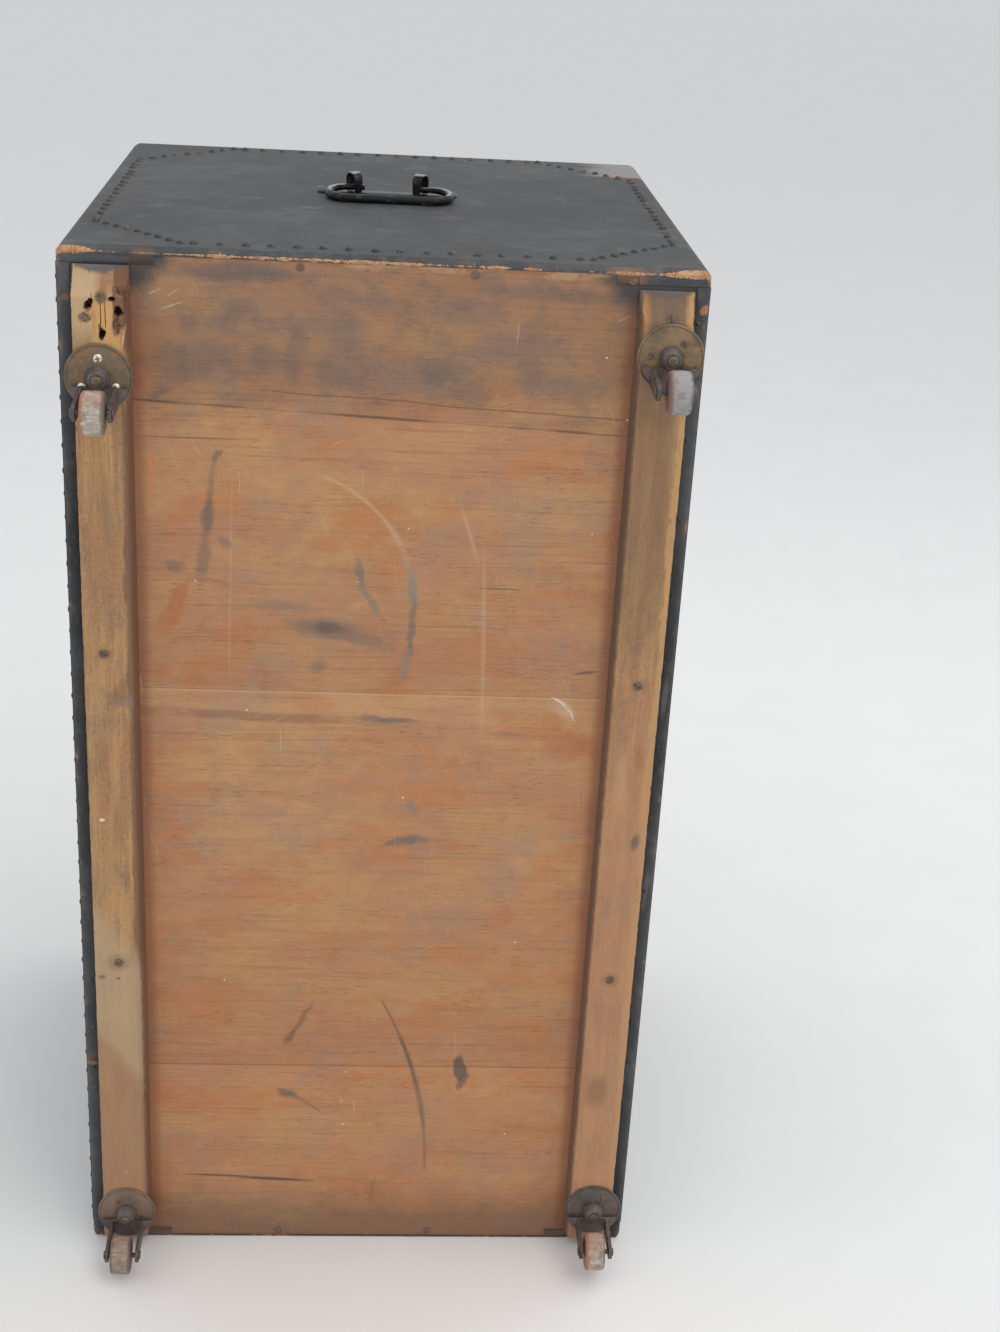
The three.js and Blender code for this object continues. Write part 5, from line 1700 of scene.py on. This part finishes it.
@dataclass
class Batten:
    """One batten with worn edges and pits; on the hinge side most of these are worm holes."""

    shop: Workshop
    node: str
    side: int
    pits: Sequence[Pit]
    slice_pitch: float = 9.0
    edge_rounding: float = 1.2
    sharp_angle: float = 40.0
    wear: float = 0.7
    worn_share: float = 0.3
    coarse: float = 14.0
    fine: float = 5.0
    slope_height: float = 24.0
    slope_depth: float = 15.0

    def __post_init__(self) -> None:
        """Read the batten's place from the frame."""
        self.low, self.high = box_of(self.node)
        self.face_y = self.low.y
        self.centre_x = (self.low.x + self.high.x) / 2

    def build(self) -> None:
        """Make the batten."""
        worn = self.carve(self.shop.copy(self.node))
        mesh = rounded(worn, self.edge_rounding, angle=self.sharp_angle)
        finish = BattenWood(side=self.side, centre=abs(self.centre_x), upper=self.high.z)
        piece = self.shop.stand_in(self.node, mesh, finish, Slot.BATTEN_WOOD, self.sharp_angle)
        self.pit(piece)

    def carve(self, mesh: Mesh) -> Mesh:
        """Slice the batten along its length and wear its edges unevenly.

        Args:
            mesh: The batten's copy.

        Returns:
            The same mesh.
        """
        slices = int((self.high.z - self.low.z) / self.slice_pitch)
        for i in range(1, slices):
            z = self.low.z + (self.high.z - self.low.z) * i / slices
            sliced(mesh, (0, 0, z), UP)
        reach = (self.high.x - self.low.x) / 2
        for vert in mesh.verts:
            off = vert.co.x - self.centre_x
            share = max(0, abs(off) / reach - (1 - self.worn_share)) / self.worn_share
            depth = (vert.co.y - self.face_y) / (self.high.y - self.face_y)
            rough = noise.noise(vert.co / self.coarse) + 0.6 * noise.noise(vert.co / self.fine)
            bite = max(0, rough) * self.wear * share * (1 - depth)
            vert.co.x -= math.copysign(bite, off)
            vert.co.y += bite * 0.8
        return mesh

    def cutter(self, pit: Pit) -> Mesh:
        """Make the uneven ball that cuts one pit.

        Args:
            pit: The pit.

        Returns:
            The ball.
        """
        ball = bmesh.new()
        bmesh.ops.create_icosphere(ball, subdivisions=3, radius=1)
        for vert in ball.verts:
            vert.co *= 1 + 0.6 * noise.noise(vert.co * 1.7 + Vector((pit.x, pit.z, 0)))
        size = Matrix.Diagonal((pit.half_width, pit.depth, pit.half_length, 1))
        return moved(ball, Matrix.Translation((pit.x, self.surface_y(pit.z), pit.z)) @ size)

    def pit(self, piece: bpy.types.Object) -> None:
        """Cut the pits out of the batten.

        Args:
            piece: The batten's piece.
        """
        tool_mesh = bpy.data.meshes.new("pits")
        whole = moved(joined([self.cutter(pit) for pit in self.pits]), Matrix.Scale(MM, 4))
        whole.to_mesh(tool_mesh)
        whole.free()
        tool = bpy.data.objects.new("pits", tool_mesh)
        bpy.context.scene.collection.objects.link(tool)
        cut = piece.modifiers.new("pits", "BOOLEAN")
        cut.object = tool
        cut.solver = "EXACT"
        cut.use_self = True
        cut.material_mode = "INDEX"
        bpy.context.view_layer.update()
        graph = bpy.context.evaluated_depsgraph_get()
        result = bpy.data.meshes.new_from_object(piece.evaluated_get(graph))
        piece.modifiers.clear()
        old = piece.data
        piece.data = result
        bpy.data.meshes.remove(old)
        bpy.data.objects.remove(tool)

    def surface_y(self, z: float) -> float:
        """Return about how far back the batten's face or slope lies at a height."""
        slope = max(0, z - (self.high.z - self.slope_height)) / self.slope_height
        return self.face_y + self.slope_depth * (1 - (1 - slope) ** 2)


@dataclass
class BattenScrews:
    """The slotted screws that hold both battens: x, z, how deep each is sunk, and its turn."""

    shop: Workshop
    places: Sequence[tuple[float, float, float, float]] = (
        (-240.4, 1004.4, 0.5, 35),
        (-246.9, 677.5, 0, 80),
        (-242, 349, 0, 120),
        (245, 1004, 1, 10),
        (244, 659, 0, 60),
        (242.3, 337.3, 0, 150),
    )
    stand_off: float = 0.2

    def build(self) -> None:
        """Make the screws as one group."""
        level = box_of("hinge_side_batten")[0].y - self.stand_off
        screw = Screw(radius=4.3, rise=0.7, slot_depth=0.7)
        heads = [screw.at((x, level + sunk, z), FRONT, turn) for x, z, sunk, turn in self.places]
        self.shop.add("batten_screws", joined(heads), RustySteel(), Slot.RUSTY_IRON)


@dataclass
class Caster:
    """One caster: a domed plate with three screws, a kingpin, a fork, an axle and a wheel."""

    shop: Workshop
    place: str
    screw_angles: tuple[float, float, float]
    screws: Finish
    recess: Recess
    iron: RustyIron
    fibre: WheelFibre
    edge_rounding: float = 0.45
    plate_steps: int = 64
    plate_bore: float = 3.5
    screw_ring: float = 16.5
    screw_level: float = 0.3
    wheel_steps: int = 56
    wheel_bore: float = 2.8
    chip_size: float = 5.0
    chip_depth: float = 1.6

    def node(self, part: str) -> str:
        """Return the name of one of the caster's frame nodes."""
        return f"{self.place}_{part}"

    def build(self) -> None:
        """Make all the caster's pieces."""
        self.build_plate()
        for part, iron in (("kingpin", self.iron), ("fork", RustyIron()), ("axle", RustyIron())):
            self.shop.refine(self.node(part), self.edge_rounding, iron, Slot.RUSTY_IRON)
        self.build_wheel()

    def build_plate(self) -> None:
        """Make the plate with its rolled rim, and the screws."""
        node = self.node("caster_plate")
        low, high = box_of(node)
        middle = (low + high) / 2
        radius = (high.x - low.x) / 2
        height = high.y - low.y
        profile = (
            (self.plate_bore, 0),
            (radius - 0.4, 0),
            (radius, 0.5),
            (radius - 0.1, 1.3),
            (radius - 0.9, 1.75),
            (radius - 1.9, 1.6),
            (radius - 2.7, 1.15),
            (radius - 4.2, 1.5),
            (radius * 0.74, height * 0.6),
            (radius * 0.58, height * 0.8),
            (radius * 0.4, height * 0.97),
            (self.plate_bore, height),
            (self.plate_bore, 0),
        )
        foot = (middle.x, high.y, middle.z)
        plate = moved(turned(profile, self.plate_steps), facing(FRONT, foot))
        self.shop.stand_in(node, plate, self.iron, Slot.RUSTY_IRON, 30)
        screw = Screw(radius=4.1, rise=1.5, recess=self.recess)
        level = low.y + height * self.screw_level
        heads = []
        for i, angle in enumerate(self.screw_angles):
            ring = self.screw_ring * Vector((math.cos(math.radians(angle)), math.sin(math.radians(angle))))
            place = (middle.x + ring.x, level, middle.z + ring.y)
            heads.append(screw.at(place, FRONT, 37 * i + 12))
        name = f"{self.place}_plate_screws"
        self.shop.add(name, joined(heads), self.screws, Slot.RUSTY_IRON, smooth=30)

    def build_wheel(self) -> None:
        """Make the wheel, its rims chipped and its tread a little crowned."""
        node = self.node("wheel")
        low, high = box_of(node)
        middle = (low + high) / 2
        radius = (high.z - low.z) / 2
        half = (high.x - low.x) / 2
        bore = self.wheel_bore
        side = (
            (bore, -half),
            (bore + 3.2, -half),
            (bore + 4.4, -half + 0.9),
            (radius - 4.4, -half + 0.9),
            (radius - 3, -half + 0.2),
            (radius - 1.6, -half + 0.5),
            (radius - 0.6, -half + 1.5),
            (radius - 0.15, -half + 3.2),
            (radius, -half * 0.4),
            (radius, 0),
        )
        back = [(r, -h) for r, h in reversed(side[:-1])]
        mesh = turned([*side, *back, side[0]], self.wheel_steps)
        self.chip(mesh, radius, half)
        moved(mesh, facing((1, 0, 0), middle))
        finish = replace(self.fibre, name=self.place, centre=tuple(middle), half_width=half)
        self.shop.stand_in(node, mesh, finish, Slot.WHEEL_FIBRE, 40)

    def chip(self, mesh: Mesh, radius: float, half: float) -> None:
        """Chip a wheel's rims and wear its tread.

        Args:
            mesh: The wheel, made along Z.
            radius: Its radius.
            half: Half its width.
        """
        shift = Vector((self.fibre.chips, 0, 0))
        for vert in mesh.verts:
            out = Vector((vert.co.x, vert.co.y)).length
            rimward = max(0, out - radius + 4) / 4
            edge = abs(vert.co.z) / half
            rough = max(0, noise.noise(vert.co / self.chip_size + shift) + 0.1)
            bite = rough * rimward * edge**4 * self.chip_depth + rimward * 0.25 * rough
            vert.co -= Vector((vert.co.x, vert.co.y, vert.co.z * 0.5)).normalized() * bite


@dataclass
class ClothCover:
    """The cloth over the case and the lid, with its bindings, nails and tacks."""

    shop: Workshop
    cloth: Leathercloth = Leathercloth()
    edge_rounding: float = 0.3
    sharp_angle: float = 40.0
    pitch: float = 21.5
    near_pitch: float = 14.5
    cut_pitch: float = 15.5
    side_pitch: float = 22.0
    step: float = 0.9
    return_x: float = 198.0
    return_cut: float = 14.0
    return_press: float = 1.1
    binding_rise: float = 0.8
    binding_sunk: float = 0.3
    binding_width: float = 26.0
    binding_rounding: float = 0.25
    corner_leg: float = 78.0
    lid_inset: float = 7.0
    nail_inset: float = 20.0
    end_near: float = 25.0
    end_far: float = 15.0
    end_cut: float = 127.0
    side_inset: float = 30.0
    side_leg: float = 84.0
    side_binding_insets: tuple[float, float, float] = (16.0, 6.5, 4.0)
    side_nails_near: tuple[float, float] = (11.5, 17.0)
    side_nails_far: float = 22.0
    side_corner_gap: float = 16.0
    lid_corner_gap: float = 14.0
    lid_row_gap: float = 8.0
    end_row_gap: float = 12.0
    end_side_gap: float = 14.0
    left_tacks: Sequence[float] = (931, 861, 784, 702, 626, 540, 466, 390, 316, 262, 214, 190)
    right_tacks: Sequence[float] = (998, 893, 818, 744, 668, 590, 512, 430, 352, 278, 228, 168)
    left_tack_inset: float = 8.0
    right_tack_inset: float = 9.0

    def __post_init__(self) -> None:
        """Read the boxes of the case and of the lid from the frame."""
        self.low, self.high = box_of("upper_end_cloth")
        self.low.z = 0
        self.lid_low, self.lid_high = box_of("lid_cloth")

    def build(self) -> None:
        """Make the cloth, its bindings and all its nails."""
        for node in ("lower_end_cloth", "lock_side_cloth", "hinge_side_cloth"):
            self.cover(node)
        self.cover_upper_end()
        self.cover("lid_cloth")
        self.nail_upper_end()
        for side, name in ((-1, "hinge_side"), (1, "lock_side")):
            self.bind_side(side, name)
            self.nail_side(side, name)
        self.bind_lid()
        self.nail_lid()
        self.tack_flanges()

    def cover(self, node: str) -> None:
        """Make one sheet of cloth from its frame node."""
        self.shop.refine(node, self.edge_rounding, self.cloth, Slot.LEATHERCLOTH, self.sharp_angle)

    def cover_upper_end(self) -> None:
        """Make the upper end's cloth as one flat sheet, its front corners fading out."""
        node = "upper_end_cloth"
        mesh = self.shop.copy(node)
        level = self.high.z - self.step
        for vert in mesh.verts:
            if abs(vert.co.z - level) < 0.05:
                vert.co.z = self.high.z
            if vert.co.y < self.low.y + 0.1 and abs(abs(vert.co.x) - self.return_x) < 1:
                vert.co.x += math.copysign(self.return_cut, vert.co.x)
                vert.co.y += self.return_press
        bmesh.ops.remove_doubles(mesh, verts=mesh.verts, dist=0.02)
        rounded(mesh, self.edge_rounding)
        self.shop.stand_in(node, mesh, self.cloth, Slot.LEATHERCLOTH, self.sharp_angle)

    def nail_upper_end(self) -> None:
        """Nail the upper end along its four edges and across its corners."""
        rows = NailRows(seed=11)
        top = self.high.z
        near, far = self.low.y + self.end_near, self.high.y - self.end_far
        side = self.high.x - self.nail_inset
        near_x = self.high.x - (self.end_cut - self.end_near)
        far_x = self.high.x - (self.end_cut - self.end_far)
        near_y = self.low.y + self.end_cut - self.nail_inset
        far_y = self.high.y - self.end_cut + self.nail_inset
        gap = self.end_side_gap
        for y, x in ((near, near_x - self.end_row_gap), (far, far_x - self.end_row_gap)):
            rows.row((-x, y, top), (x, y, top), self.pitch, UP)
        for x in (-1, 1):
            edge = x * side
            rows.row((edge, near_y + gap, top), (edge, far_y - gap, top), self.pitch, UP)
            rows.row((x * near_x, near, top), (edge, near_y, top), self.near_pitch, UP)
            rows.row((x * far_x, far, top), (edge, far_y, top), self.cut_pitch, UP)
        self.shop.add("upper_end_nails", rows.whole(), NailMetal(), Slot.WORN_BRASS)

    def binding(self, outline: Outline, place: Matrix) -> Mesh:
        """Make a thin raised strip of cloth from its outline.

        Args:
            outline: The corners in the strip's own plane.
            place: The matrix that lays the plane on its surface, +Z outwards.

        Returns:
            The strip.
        """
        mesh = bmesh.new()
        face = mesh.faces.new([mesh.verts.new((a, b, -self.binding_sunk)) for a, b in outline])
        if face.normal.z > 0:
            face.normal_flip()
        raised(mesh, [face], self.binding_rise + self.binding_sunk)
        bmesh.ops.recalc_face_normals(mesh, faces=mesh.faces)
        return moved(rounded(mesh, self.binding_rounding, 1), place)

    def strips(self, half_a: float, low_b: float, high_b: float) -> list[Outline]:
        """Give the outlines of a binding round three sides of a face, with cut corners.

        Args:
            half_a: Half the face's length.
            low_b: The closed long edge.
            high_b: Where the strip stops at the open long edge.

        Returns:
            Two outlines that meet in the middle of the closed edge.
        """
        width, leg = self.binding_width, self.corner_leg
        outlines = []
        for side in (-1, 1):
            end = side * half_a
            inner = side * (half_a - width)
            cut = side * (half_a - width - leg)
            outlines.append(
                [
                    (0, low_b),
                    (end, low_b),
                    (end, high_b),
                    (inner, high_b),
                    (inner, low_b + width + leg),
                    (cut, low_b + width),
                    (0, low_b + width),
                ]
            )
        return outlines

    def add_binding(self, name: str, strips: Iterable[Mesh], body: str) -> None:
        """Join a binding's strips into one piece.

        Args:
            name: The piece's name.
            strips: The strips, which are used up.
            body: The body that it rides on.
        """
        mesh = joined(strips)
        bmesh.ops.recalc_face_normals(mesh, faces=mesh.faces)
        self.shop.add(name, mesh, self.cloth, Slot.LEATHERCLOTH, body)

    def bind_side(self, side: float, name: str) -> None:
        """Bind one long side of the case.

        Args:
            side: -1 for the hinge side, 1 for the lock side.
            name: The side's name.
        """
        middle_z = self.high.z / 2
        face = Matrix(
            (
                (0, 0, side, side * self.high.x),
                (0, 1, 0, 0),
                (1, 0, 0, middle_z),
                (0, 0, 0, 1),
            )
        )
        end, near, far = self.side_binding_insets
        outlines = self.strips(middle_z - end, self.low.y + near, self.high.y - far)
        strips = [self.binding(outline, face) for outline in outlines]
        self.add_binding(f"{name}_binding", strips, "case")

    def nail_side(self, side: float, name: str) -> None:
        """Nail one long side.

        Args:
            side: -1 for the hinge side, 1 for the lock side.
            name: The side's name.
        """
        rows = NailRows(seed=29 if side < 0 else 31, radius=3.2, rise=1.5)
        out = (side, 0, 0)
        x = side * (self.high.x + self.binding_rise)
        near = self.low.y + self.side_nails_near[side > 0]
        far = self.high.y - self.side_nails_far
        low, high = self.side_inset, self.high.z - self.side_inset
        leg, gap, corner = self.side_leg, self.side_pitch, self.side_corner_gap
        for start, end in ((low + leg, high - leg), (low, low + leg - gap), (high - leg + gap, high)):
            rows.row((x, near, start), (x, near, end), gap, out)
        for end, inward in ((low, 1), (high, -1)):
            rows.row((x, near + leg, end), (x, far, end), self.pitch, out)
            start = (x, near + corner, end + inward * (leg - corner))
            stop = (x, near + leg - corner, end + inward * corner)
            rows.row(start, stop, self.cut_pitch, out)
        self.shop.add(f"{name}_nails", rows.whole(), NailMetal(), Slot.WORN_BRASS)

    def bind_lid(self) -> None:
        """Bind the lid's face all round."""
        face = Matrix(
            (
                (0, 1, 0, 0),
                (0, 0, 1, self.lid_high.y),
                (1, 0, 0, (self.lid_low.z + self.lid_high.z) / 2),
                (0, 0, 0, 1),
            )
        )
        half = (self.lid_high.z - self.lid_low.z) / 2 - self.lid_inset
        strips = [
            moved(self.binding(outline, face), Matrix.Diagonal((flip, 1, 1, 1)))
            for flip in (1, -1)
            for outline in self.strips(half, -self.lid_high.x + self.lid_inset, 0)
        ]
        self.add_binding("lid_binding", strips, "lid")

    def nail_lid(self) -> None:
        """Nail the lid along its four edges and across its corners."""
        rows = NailRows(seed=37)
        level = self.lid_high.y + self.binding_rise
        side = self.lid_high.x - self.nail_inset
        low, high = self.lid_low.z + self.nail_inset, self.lid_high.z - self.nail_inset
        leg, corner = self.side_leg, self.lid_corner_gap
        for x in (-1, 1):
            edge = x * side
            rows.row((edge, level, low + leg), (edge, level, high - leg), self.pitch, BACK)
            for end, inward in ((low, 1), (high, -1)):
                start = (edge, level, end + inward * (leg - corner))
                rows.row(start, (x * (side - leg + corner), level, end), self.cut_pitch, BACK)
        for z in (low, high):
            x = side - leg - self.lid_row_gap
            rows.row((-x, level, z), (x, level, z), self.pitch, BACK)
        self.shop.add("lid_nails", rows.whole(), NailMetal(), Slot.WORN_BRASS, "lid")

    def tack_flanges(self) -> None:
        """Tack the cloth that is turned over on to the bottom face."""
        tacks = NailRows(seed=41, radius=2.3, rise=0.8)
        for z in self.left_tacks:
            tacks.nail((-self.high.x + self.left_tack_inset, self.low.y, z), FRONT)
        for z in self.right_tacks:
            tacks.nail((self.high.x - self.right_tack_inset, self.low.y, z), FRONT)
        self.shop.add("flange_tacks", tacks.whole(), NailMetal(), Slot.RUSTY_IRON)


@dataclass
class Handle:
    """The bail handle on the upper end, its plate, loops and rivets."""

    shop: Workshop
    edge_rounding: float = 0.5
    # How far below the top of the loops and of the bail their painted highlight reaches.
    loop_worn: float = 1.6
    bail_worn: float = 1.0
    rivet_inset: float = 3.5
    rivet_black: Colour = (0.12, 0.12, 0.122)

    def build(self) -> None:
        """Make the handle's pieces."""
        self.shop.refine("handle_plate", self.edge_rounding, BlackIron(), Slot.BLACK_IRON)
        for node in ("hinge_side_handle_loop", "lock_side_handle_loop"):
            # The loops get a painted highlight along their top.
            iron = BlackIron("loops", rubbed_above=box_of(node)[1].z - self.loop_worn)
            self.shop.refine(node, self.edge_rounding, iron, Slot.BLACK_IRON)
        self.build_bail()
        rivets = NailRows(seed=53, radius=4.4, rise=4.2, steps=18)
        low, high = box_of("handle_plate")
        middle_y = (low.y + high.y) / 2
        for x in (low.x + self.rivet_inset, high.x - self.rivet_inset):
            rivets.nail((x, middle_y, high.z), UP)
        iron = BlackIron("rivets", self.rivet_black)
        self.shop.add("handle_rivets", rivets.whole(), iron, Slot.BLACK_IRON)

    def build_bail(self) -> None:
        """Make the bail, its triangles joined so that it shades as a round bar."""
        mesh = self.shop.copy("bail")
        bmesh.ops.join_triangles(
            mesh,
            faces=mesh.faces,
            angle_face_threshold=math.radians(40),
            angle_shape_threshold=math.radians(60),
        )
        # The bail gets a painted highlight along its top.
        iron = BlackIron("bail", rubbed_above=box_of("bail")[1].z - self.bail_worn)
        self.shop.stand_in("bail", mesh, iron, Slot.BLACK_IRON, 60)


@dataclass
class Hardware:
    """The hinges, hooks, lock plate and hasp, with their screws."""

    shop: Workshop
    iron_parts: Sequence[str] = (
        "hinge_case_leaf",
        "hinge_lid_leaf",
        "hinge_pin",
        "hook_pivot",
        "hook",
        "hook_keeper",
    )
    brass_nodes: Sequence[str] = ("lock_plate", "hasp_base", "hasp", "hasp_pin")
    iron_rounding: float = 0.35
    brass_rounding: float = 0.4
    screw: Screw = field(
        default_factory=lambda: Screw(radius=2.8, rise=0.7, slot_width=0.7, slot_depth=0.5, steps=16)
    )
    leaf_face_x: float = -281.9
    case_shares: Sequence[float] = (0.16, 0.5, 0.84)
    case_insets: Sequence[float] = (8, 17, 8)
    lid_shares: Sequence[float] = (0.14, 0.86)
    lid_inset: float = 5.0
    lock_inset: float = 5.5

    def build(self) -> None:
        """Make all the pieces and their screws."""
        for place in ("lower", "upper"):
            for part in self.iron_parts:
                node = f"{place}_{part}"
                self.shop.refine(node, self.iron_rounding, BlackIron(), Slot.BLACK_IRON)
        for node in self.brass_nodes:
            self.shop.refine(node, self.brass_rounding, WornBrass(), Slot.WORN_BRASS)
        for place in ("lower", "upper"):
            self.screw_hinge(place)
        self.screw_lock()

    def screw_hinge(self, place: str) -> None:
        """Put three screws in a hinge's case leaf and two in its lid leaf.

        Args:
            place: Which hinge it is, lower or upper.
        """
        out = (-1, 0, 0)
        low, high = box_of(f"{place}_hinge_case_leaf")
        heads = []
        for i, (share, inset) in enumerate(zip(self.case_shares, self.case_insets)):
            z = low.z + (high.z - low.z) * share
            heads.append(self.screw.at((self.leaf_face_x, low.y + inset, z), out, 50 * i))
        name = f"{place}_hinge_case_screws"
        self.shop.add(name, joined(heads), RustySteel(), Slot.RUSTY_IRON, smooth=30)
        low, high = box_of(f"{place}_hinge_lid_leaf")
        heads = []
        for i, share in enumerate(self.lid_shares):
            z = low.z + (high.z - low.z) * share
            place_on = (self.leaf_face_x, high.y - self.lid_inset, z)
            heads.append(self.screw.at(place_on, out, 65 * i))
        name = f"{place}_hinge_lid_screws"
        self.shop.add(name, joined(heads), RustySteel(), Slot.RUSTY_IRON, "lid", smooth=30)

    def screw_lock(self) -> None:
        """Put a screw in each corner of the lock plate."""
        low, high = box_of("lock_plate")
        inset = self.lock_inset
        heads = [
            self.screw.at((high.x, y, z), (1, 0, 0), 40 + z)
            for y in (low.y + inset, high.y - inset)
            for z in (low.z + inset, high.z - inset)
        ]
        name = "lock_plate_screws"
        self.shop.add(name, joined(heads), WornBrass(), Slot.WORN_BRASS, smooth=30)


@dataclass
class Inside:
    """The case's wood and the lid's wood, which keep the frame's own meshes."""

    shop: Workshop
    nodes: Sequence[str] = (
        "lock_side_panel",
        "hinge_side_panel",
        "upper_end_panel",
        "lower_end_panel",
        "lid_board",
        "lid_frame",
    )

    def build(self) -> None:
        """Dress the nodes."""
        for node in self.nodes:
            self.shop.dress(node, CaseWood())


@dataclass(frozen=True)
class Lamp:
    """A round soft lamp that looks at the middle of the trunk; its sizes are metres and watts."""

    name: str
    place: Point
    size: float
    power: float


@dataclass
class Studio:
    """The camera at the photograph's place, the floor and the soft light."""

    shop: Workshop
    eye: Point = (-13.02, -1917.1, 1383.9)
    pitch: float = 23.501
    heading: float = -4.4854
    roll: float = 3.2965
    lens: float = 69.24
    sensor: float = 36.0
    view_end: float = 300.0
    floor_half: float = 90000.0
    sky: Colour = (0.945, 0.96, 0.975)
    sky_strength: float = 0.84
    lamp_colour: Colour = (1.0, 0.985, 0.965)
    lamp_target: Point = (0.0, 0.0, 0.5)
    lamps: Sequence[Lamp] = (
        Lamp("key_lamp", (1.6, -2.6, 3.4), 2.6, 26),
        Lamp("fill_lamp", (-2.8, -1.2, 2.2), 2.4, 6),
        Lamp("top_lamp", (1.4, 0.2, 4.4), 4, 44),
    )

    def build(self) -> None:
        """Make the camera, floor, sky and lamps."""
        self.build_camera()
        self.build_floor()
        self.build_sky()
        for lamp in self.lamps:
            self.build_lamp(lamp)

    def build_camera(self) -> None:
        """Place the camera from its solved place and three turns."""
        level = Matrix(((1, 0, 0), (0, 0, -1), (0, 1, 0)))
        view = Matrix.Identity(3)
        for angle, axis in ((self.roll, "Z"), (self.pitch, "X"), (self.heading, "Y")):
            view = view @ Matrix.Rotation(math.radians(angle), 3, axis)
        rows = view @ level
        axes = Matrix((rows[0], -rows[1], -rows[2])).transposed()
        data = bpy.data.cameras.new("camera")
        data.lens = self.lens
        data.sensor_width = self.sensor
        data.sensor_fit = "HORIZONTAL"
        data.clip_end = self.view_end
        camera = bpy.data.objects.new("camera", data)
        camera.matrix_world = Matrix.Translation(Vector(self.eye) * MM) @ axes.to_4x4()
        bpy.context.scene.collection.objects.link(camera)
        bpy.context.scene.camera = camera

    def build_floor(self) -> None:
        """Make the floor, which isn't part of the trunk."""
        mesh = bmesh.new()
        bmesh.ops.create_grid(mesh, x_segments=1, y_segments=1, size=self.floor_half)
        moved(mesh, Matrix.Scale(MM, 4))
        data = bpy.data.meshes.new("floor")
        mesh.to_mesh(data)
        mesh.free()
        data.materials.append(self.shop.paint(FloorPaint()))
        floor = bpy.data.objects.new("floor", data)
        bpy.context.scene.collection.objects.link(floor)

    def build_sky(self) -> None:
        """Make an even sky."""
        world = bpy.data.worlds.new("sky")
        world.use_nodes = True
        back = world.node_tree.nodes["Background"]
        back.inputs["Color"].default_value = (*self.sky, 1)
        back.inputs["Strength"].default_value = self.sky_strength
        bpy.context.scene.world = world
        bpy.context.scene.view_settings.view_transform = "Standard"

    def build_lamp(self, lamp: Lamp) -> None:
        """Make one lamp.

        Args:
            lamp: Its place, size and power.
        """
        data = bpy.data.lights.new(lamp.name, "AREA")
        data.shape = "DISK"
        data.size = lamp.size
        data.energy = lamp.power
        data.color = self.lamp_colour
        piece = bpy.data.objects.new(lamp.name, data)
        aim = Vector(self.lamp_target) - Vector(lamp.place)
        turn = aim.to_track_quat("-Z", "Y").to_matrix().to_4x4()
        piece.matrix_world = Matrix.Translation(lamp.place) @ turn
        bpy.context.scene.collection.objects.link(piece)


def casters(shop: Workshop) -> list[Caster]:
    """Give the four casters, each with its own screws, iron and worn wheel.

    Args:
        shop: The workshop that makes the pieces.

    Returns:
        The casters.
    """
    olive = RustyIron("olive", (0.115, 0.1, 0.076), (0.2, 0.135, 0.085), (0.34, 0.16, 0.06), 0.8)
    golden = RustyIron("golden", (0.15, 0.11, 0.07), (0.26, 0.18, 0.09), (0.36, 0.2, 0.08), 0.7, 962)
    brown = RustyIron("brown", (0.15, 0.11, 0.085), (0.23, 0.155, 0.11), (0.3, 0.16, 0.09), 0.7)
    slate = RustyIron("slate", (0.085, 0.075, 0.07), (0.135, 0.108, 0.094), (0.22, 0.11, 0.075), 0.7)
    return [
        Caster(
            shop,
            "upper_hinge_side",
            screw_angles=(90, 212, 330),
            screws=BrightSteel(),
            recess=Recess.CROSS,
            iron=olive,
            fibre=WheelFibre(
                tread=(0.4, 0.34, 0.285),
                scuff=(0.64, 0.6, 0.53),
                rim=(0.36, 0.13, 0.06),
                scuffed=0.9,
                rusty_top=0.4,
                chips=1,
            ),
        ),
        Caster(
            shop,
            "upper_lock_side",
            screw_angles=(50, 175, 290),
            screws=RustySteel(),
            recess=Recess.SLOT,
            iron=golden,
            fibre=WheelFibre(chips=2),
        ),
        Caster(
            shop,
            "lower_hinge_side",
            screw_angles=(115, 235, 345),
            screws=RustySteel(),
            recess=Recess.CROSS,
            iron=brown,
            fibre=WheelFibre(
                tread=(0.29, 0.21, 0.165),
                scuff=(0.46, 0.38, 0.32),
                rim=(0.17, 0.1, 0.075),
                scuffed=0.7,
                rusty_top=0.2,
                chips=3,
            ),
        ),
        Caster(
            shop,
            "lower_lock_side",
            screw_angles=(61, 181, 301),
            screws=RustySteel(),
            recess=Recess.SLOT,
            iron=slate,
            fibre=WheelFibre(
                tread=(0.38, 0.31, 0.25),
                scuff=(0.6, 0.56, 0.5),
                rim=(0.36, 0.15, 0.06),
                scuffed=0.9,
                rusty_top=0.3,
                chips=4,
            ),
        ),
    ]


def main() -> None:
    """Build every sub-assembly in order."""
    logging.basicConfig(level=logging.INFO, format="%(message)s")
    shop = Workshop()
    Studio(shop).build()
    Inside(shop).build()
    BottomFace(shop).build()
    Batten(shop, "hinge_side_batten", -1, HINGE_SIDE_PITS).build()
    Batten(shop, "lock_side_batten", 1, LOCK_SIDE_PITS).build()
    BattenScrews(shop).build()
    for caster in casters(shop):
        caster.build()
    ClothCover(shop).build()
    Handle(shop).build()
    Hardware(shop).build()
    log.info("%d pieces made", shop.made)


if __name__ == "__main__":
    main()
